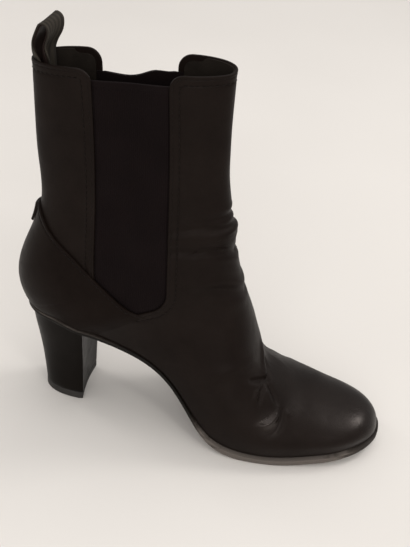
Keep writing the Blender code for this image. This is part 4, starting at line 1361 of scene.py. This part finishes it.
def sole_plate(name, levels, finish):
    """A plate along the bottom of the last from edge levels: functions of x for margin and height."""
    rings = []
    for margin_of, height_of in levels:
        flat = moved_outline(margin_of(FOOT_OUTLINE[:, 0]))
        rings.append(np.column_stack((flat, height_of(flat[:, 0]))))
    count = len(FOOT_OUTLINE)
    half = count // 2
    # The rings' own ends give way to a ladder between the two sides
    faces = ring_faces(len(rings), count, turned=True)[:-2]
    last = (len(rings) - 1) * count
    for i in range(half - 1):
        a, b, c, d = i, i + 1, count - 2 - i, count - 1 - i
        faces.append((a, b, c, d))
        faces.append((last + d, last + c, last + b, last + a))
    return finish_mesh(name, np.vstack(rings), faces, finish, 30.0)


def welt_margin(x):
    """How far the outsole stands out from the upper at places along X."""
    return np.interp(x, [place.x for place in WELT_PLACES], [place.margin for place in WELT_PLACES])


def make_outsole():
    """Outsole with a bevelled, grooved edge, an arch, a toe spring and a flat tread at the ball."""
    def level(inset, share, drop):
        def margin(x):
            return welt_margin(x) - inset

        def height(x):
            top, bottom = sole_top(x), sole_bottom(x)
            return top + (bottom - top) * share - drop

        return margin, height

    levels = (level(9.0, 0.0, 0.0), level(0.55, 0.0, 0.0), level(0.12, 0.0, 0.22), level(0.0, 0.0, 0.6),
              level(0.0, 0.38, 0.0), level(0.22, 0.46, 0.0), level(0.0, 0.54, 0.0),
              level(0.0, 1.0, -0.7), level(0.18, 1.0, -0.25), level(0.7, 1.0, 0.0), level(9.0, 1.0, 0.0))
    plate = sole_plate("outsole_plate", levels, SOLE_EDGE)
    x, _, z = piece_points(plate).T
    drop = (sole_top(x) - z) / sole_thickness(x)
    # On the outsole the polish attribute sets only the edge's colour: a lighter band along the forefoot's
    # edge that fades most of the way out towards the toe, and a painted highlight along the top of the edge
    # round the seat (lip).
    forefoot_band = smooth(84.0, 104.0, x) * (1 - 0.75 * smooth(178.0, 204.0, x))
    lip = smooth(45.0, 20.0, x) * smooth(0.34, 0.16, drop)
    polish(plate, 0.2 + 1.2 * forefoot_band + 0.5 * lip)
    fit_to_boot(plate, "sole_leather", "outsole")


def make_insole():
    """Insole with a soft edge and a shallow dish."""
    def level(inset, lift):
        return (lambda x: np.full_like(x, -inset)), (lambda x: profile_height(x) + lift)

    levels = (level(12.0, 1.5), level(6.0, 1.8), level(3.4, 2.0), level(2.7, 1.7), level(2.6, 1.2),
              level(2.6, 0.1), level(12.0, 0.1))
    fit_to_boot(sole_plate("insole_sock", levels, SOCK), "insole_lining", "insole")


# Heel's grid and the hollow of its breast
HEEL_COLUMNS = 54
HEEL_BREAST_STEPS = 14
HEEL_ROWS = 26
HEEL_HOLLOW = 1.5
HEEL_TRIALS = 160


def heel_ring(level):
    """A heel level in plan: round at the back, straight across at the breast, its corners eased."""
    angles = np.linspace(-math.pi / 2 + 0.05, math.pi / 2 - 0.05, HEEL_COLUMNS)
    reach = np.cos(angles) ** (2 / HEEL_ROUND)
    across = np.sign(angles) * np.abs(np.sin(angles)) ** (2 / HEEL_ROUND)
    depth = level.breast - level.back
    back = np.stack((level.breast - depth * reach, across * level.half_width), axis=1)
    ends = np.linspace(0.965, -0.965, HEEL_BREAST_STEPS) * level.half_width
    hollow = HEEL_HOLLOW * (1 - (ends / level.half_width) ** 2)
    breast = np.stack((level.breast - hollow, ends), axis=1)
    return np.vstack((back, breast))


def make_heel():
    """Covered heel block under the seat, and the top piece that it stands on."""
    floor = TOP_PIECE_THICK + 0.25
    drops = [level.drop for level in HEEL_LEVELS]
    lines = [spline(drops, [getattr(level, name) for level in HEEL_LEVELS]) for name in HeelLevel._fields[1:]]

    def ring_at(drop):
        return heel_ring(HeelLevel(drop, *(float(line(drop)) for line in lines)))

    dense = [ring_at(drop) for drop in np.linspace(0.0, 1.0, HEEL_TRIALS)]
    heights = np.linspace(HEEL_HEIGHT, floor, HEEL_TRIALS)
    columns = []
    for k in range(len(dense[0])):
        line = np.array([(*ring[k], z) for ring, z in zip(dense, heights)])
        under = line[:, 2] < sole_bottom(line[:, 0]) - 0.12
        columns.append(evenly(line[int(np.argmax(under)):], HEEL_ROWS))
    rings = np.array(columns).transpose(1, 0, 2)
    eased = rings[-1].copy()
    eased[:, :2] *= 0.985
    rings[-1, :, 2] += 0.4
    rings = np.vstack((rings, eased[None]))
    count = rings.shape[1]
    block = finish_mesh("heel_cover", rings.reshape(-1, 3), ring_faces(len(rings), count), HEEL_LEATHER)
    fit_to_boot(block, "heel_leather", "heel_block")

    flat = heel_ring(HEEL_LEVELS[-1])
    steps = ((0.975, TOP_PIECE_THICK), (1.0, TOP_PIECE_THICK - 0.35), (1.0, 0.7), (0.97, 0.0))
    rings = [np.column_stack((flat * scale, np.full(count, z))) for scale, z in steps]
    tread = finish_mesh("heel_tread", np.vstack(rings), ring_faces(len(rings), count), TREAD_RUBBER)
    fit_to_boot(tread, "tread_rubber", "top_piece")


# Studio lights, in metres
Light = namedtuple("Light", "name at target size power colour")
LIGHTS = (
    Light("overhead", (0.4, 0.2, 1.6), (0.12, 0.0, 0.05), (1.4, 1.4), 7.0, (1.0, 0.985, 0.97)),
    Light("window", (-1.3, 0.5, 0.7), (0.0, 0.0, 0.1), (0.3, 1.0), 3.0, (1.0, 0.99, 0.97)),
    Light("key", (1.0, 0.6, 1.2), (0.1, 0.0, 0.06), (0.35, 0.35), 4.5, (1.0, 0.98, 0.95)),
    Light("front", (0.7, -0.85, 1.45), (0.1, 0.0, 0.06), (0.25, 0.25), 2.5, (1.0, 0.98, 0.95)),
    Light("fill", (0.2, -1.5, 0.9), (0.1, 0.0, 0.08), (1.2, 1.2), 8.0, (1.0, 0.98, 0.96)),
)
WORLD_COLOUR = (1.0, 0.985, 0.965, 1.0)
WORLD_STRENGTH = 0.6
FLOOR_SIZE = 8.0
FLOOR_AT = (0.0, 0.0, -0.0002)


def add_light(light):
    """An area light that looks at a point."""
    data = bpy.data.lights.new(light.name, "AREA")
    data.energy = light.power
    data.color = light.colour
    data.shape = "RECTANGLE"
    data.size, data.size_y = light.size
    made = bpy.data.objects.new(light.name, data)
    made.location = Vector(light.at)
    made.rotation_mode = "QUATERNION"
    made.rotation_quaternion = (Vector(light.target) - Vector(light.at)).to_track_quat("-Z", "Y")
    bpy.context.scene.collection.objects.link(made)


def make_stage():
    """Pale floor, soft studio light and the world's fill."""
    bpy.ops.mesh.primitive_grid_add(x_subdivisions=8, y_subdivisions=8, size=FLOOR_SIZE, location=FLOOR_AT)
    floor = bpy.context.active_object
    floor.name = "floor"
    floor.data.materials.append(FLOOR)
    world = bpy.data.worlds.new("studio")
    world.use_nodes = True
    background = world.node_tree.nodes["Background"]
    background.inputs["Color"].default_value = WORLD_COLOUR
    background.inputs["Strength"].default_value = WORLD_STRENGTH
    bpy.context.scene.world = world
    bpy.context.scene.view_settings.view_transform = "Standard"
    for light in LIGHTS:
        add_light(light)


def make_camera():
    """The photograph's camera, turned by the least angle so that the boot fills the frame."""
    pitch = math.radians(CAMERA_PITCH)
    ahead = Vector((*CAMERA_FORWARD, 0.0)).normalized()
    forward = ahead * math.cos(pitch) - Vector((0.0, 0.0, math.sin(pitch)))
    right = Vector((ahead.y, -ahead.x, 0.0))
    up = right.cross(forward)
    aim = (Vector(CAMERA_TARGET) - Vector(CAMERA_AT)).normalized()
    turn = forward.rotation_difference(aim)
    forward, right, up = (turn @ axis for axis in (forward, right, up))
    data = bpy.data.cameras.new("camera")
    data.sensor_width = 36.0
    data.sensor_fit = "AUTO"
    data.lens = CAMERA_LENS
    data.clip_start = 0.01
    data.clip_end = 20.0
    camera = bpy.data.objects.new("camera", data)
    place = Matrix((right, up, -forward)).transposed().to_4x4()
    place.translation = Vector(CAMERA_AT) * MM
    camera.matrix_world = place
    bpy.context.scene.collection.objects.link(camera)
    bpy.context.scene.camera = camera


make_camera()
make_stage()
make_upper()
make_lining()
make_gore("gore_medial", -1)
make_gore("gore_lateral", 1)
make_counter()
make_strap()
make_buckle()
make_pull_loop()
make_outsole()
make_insole()
make_heel()
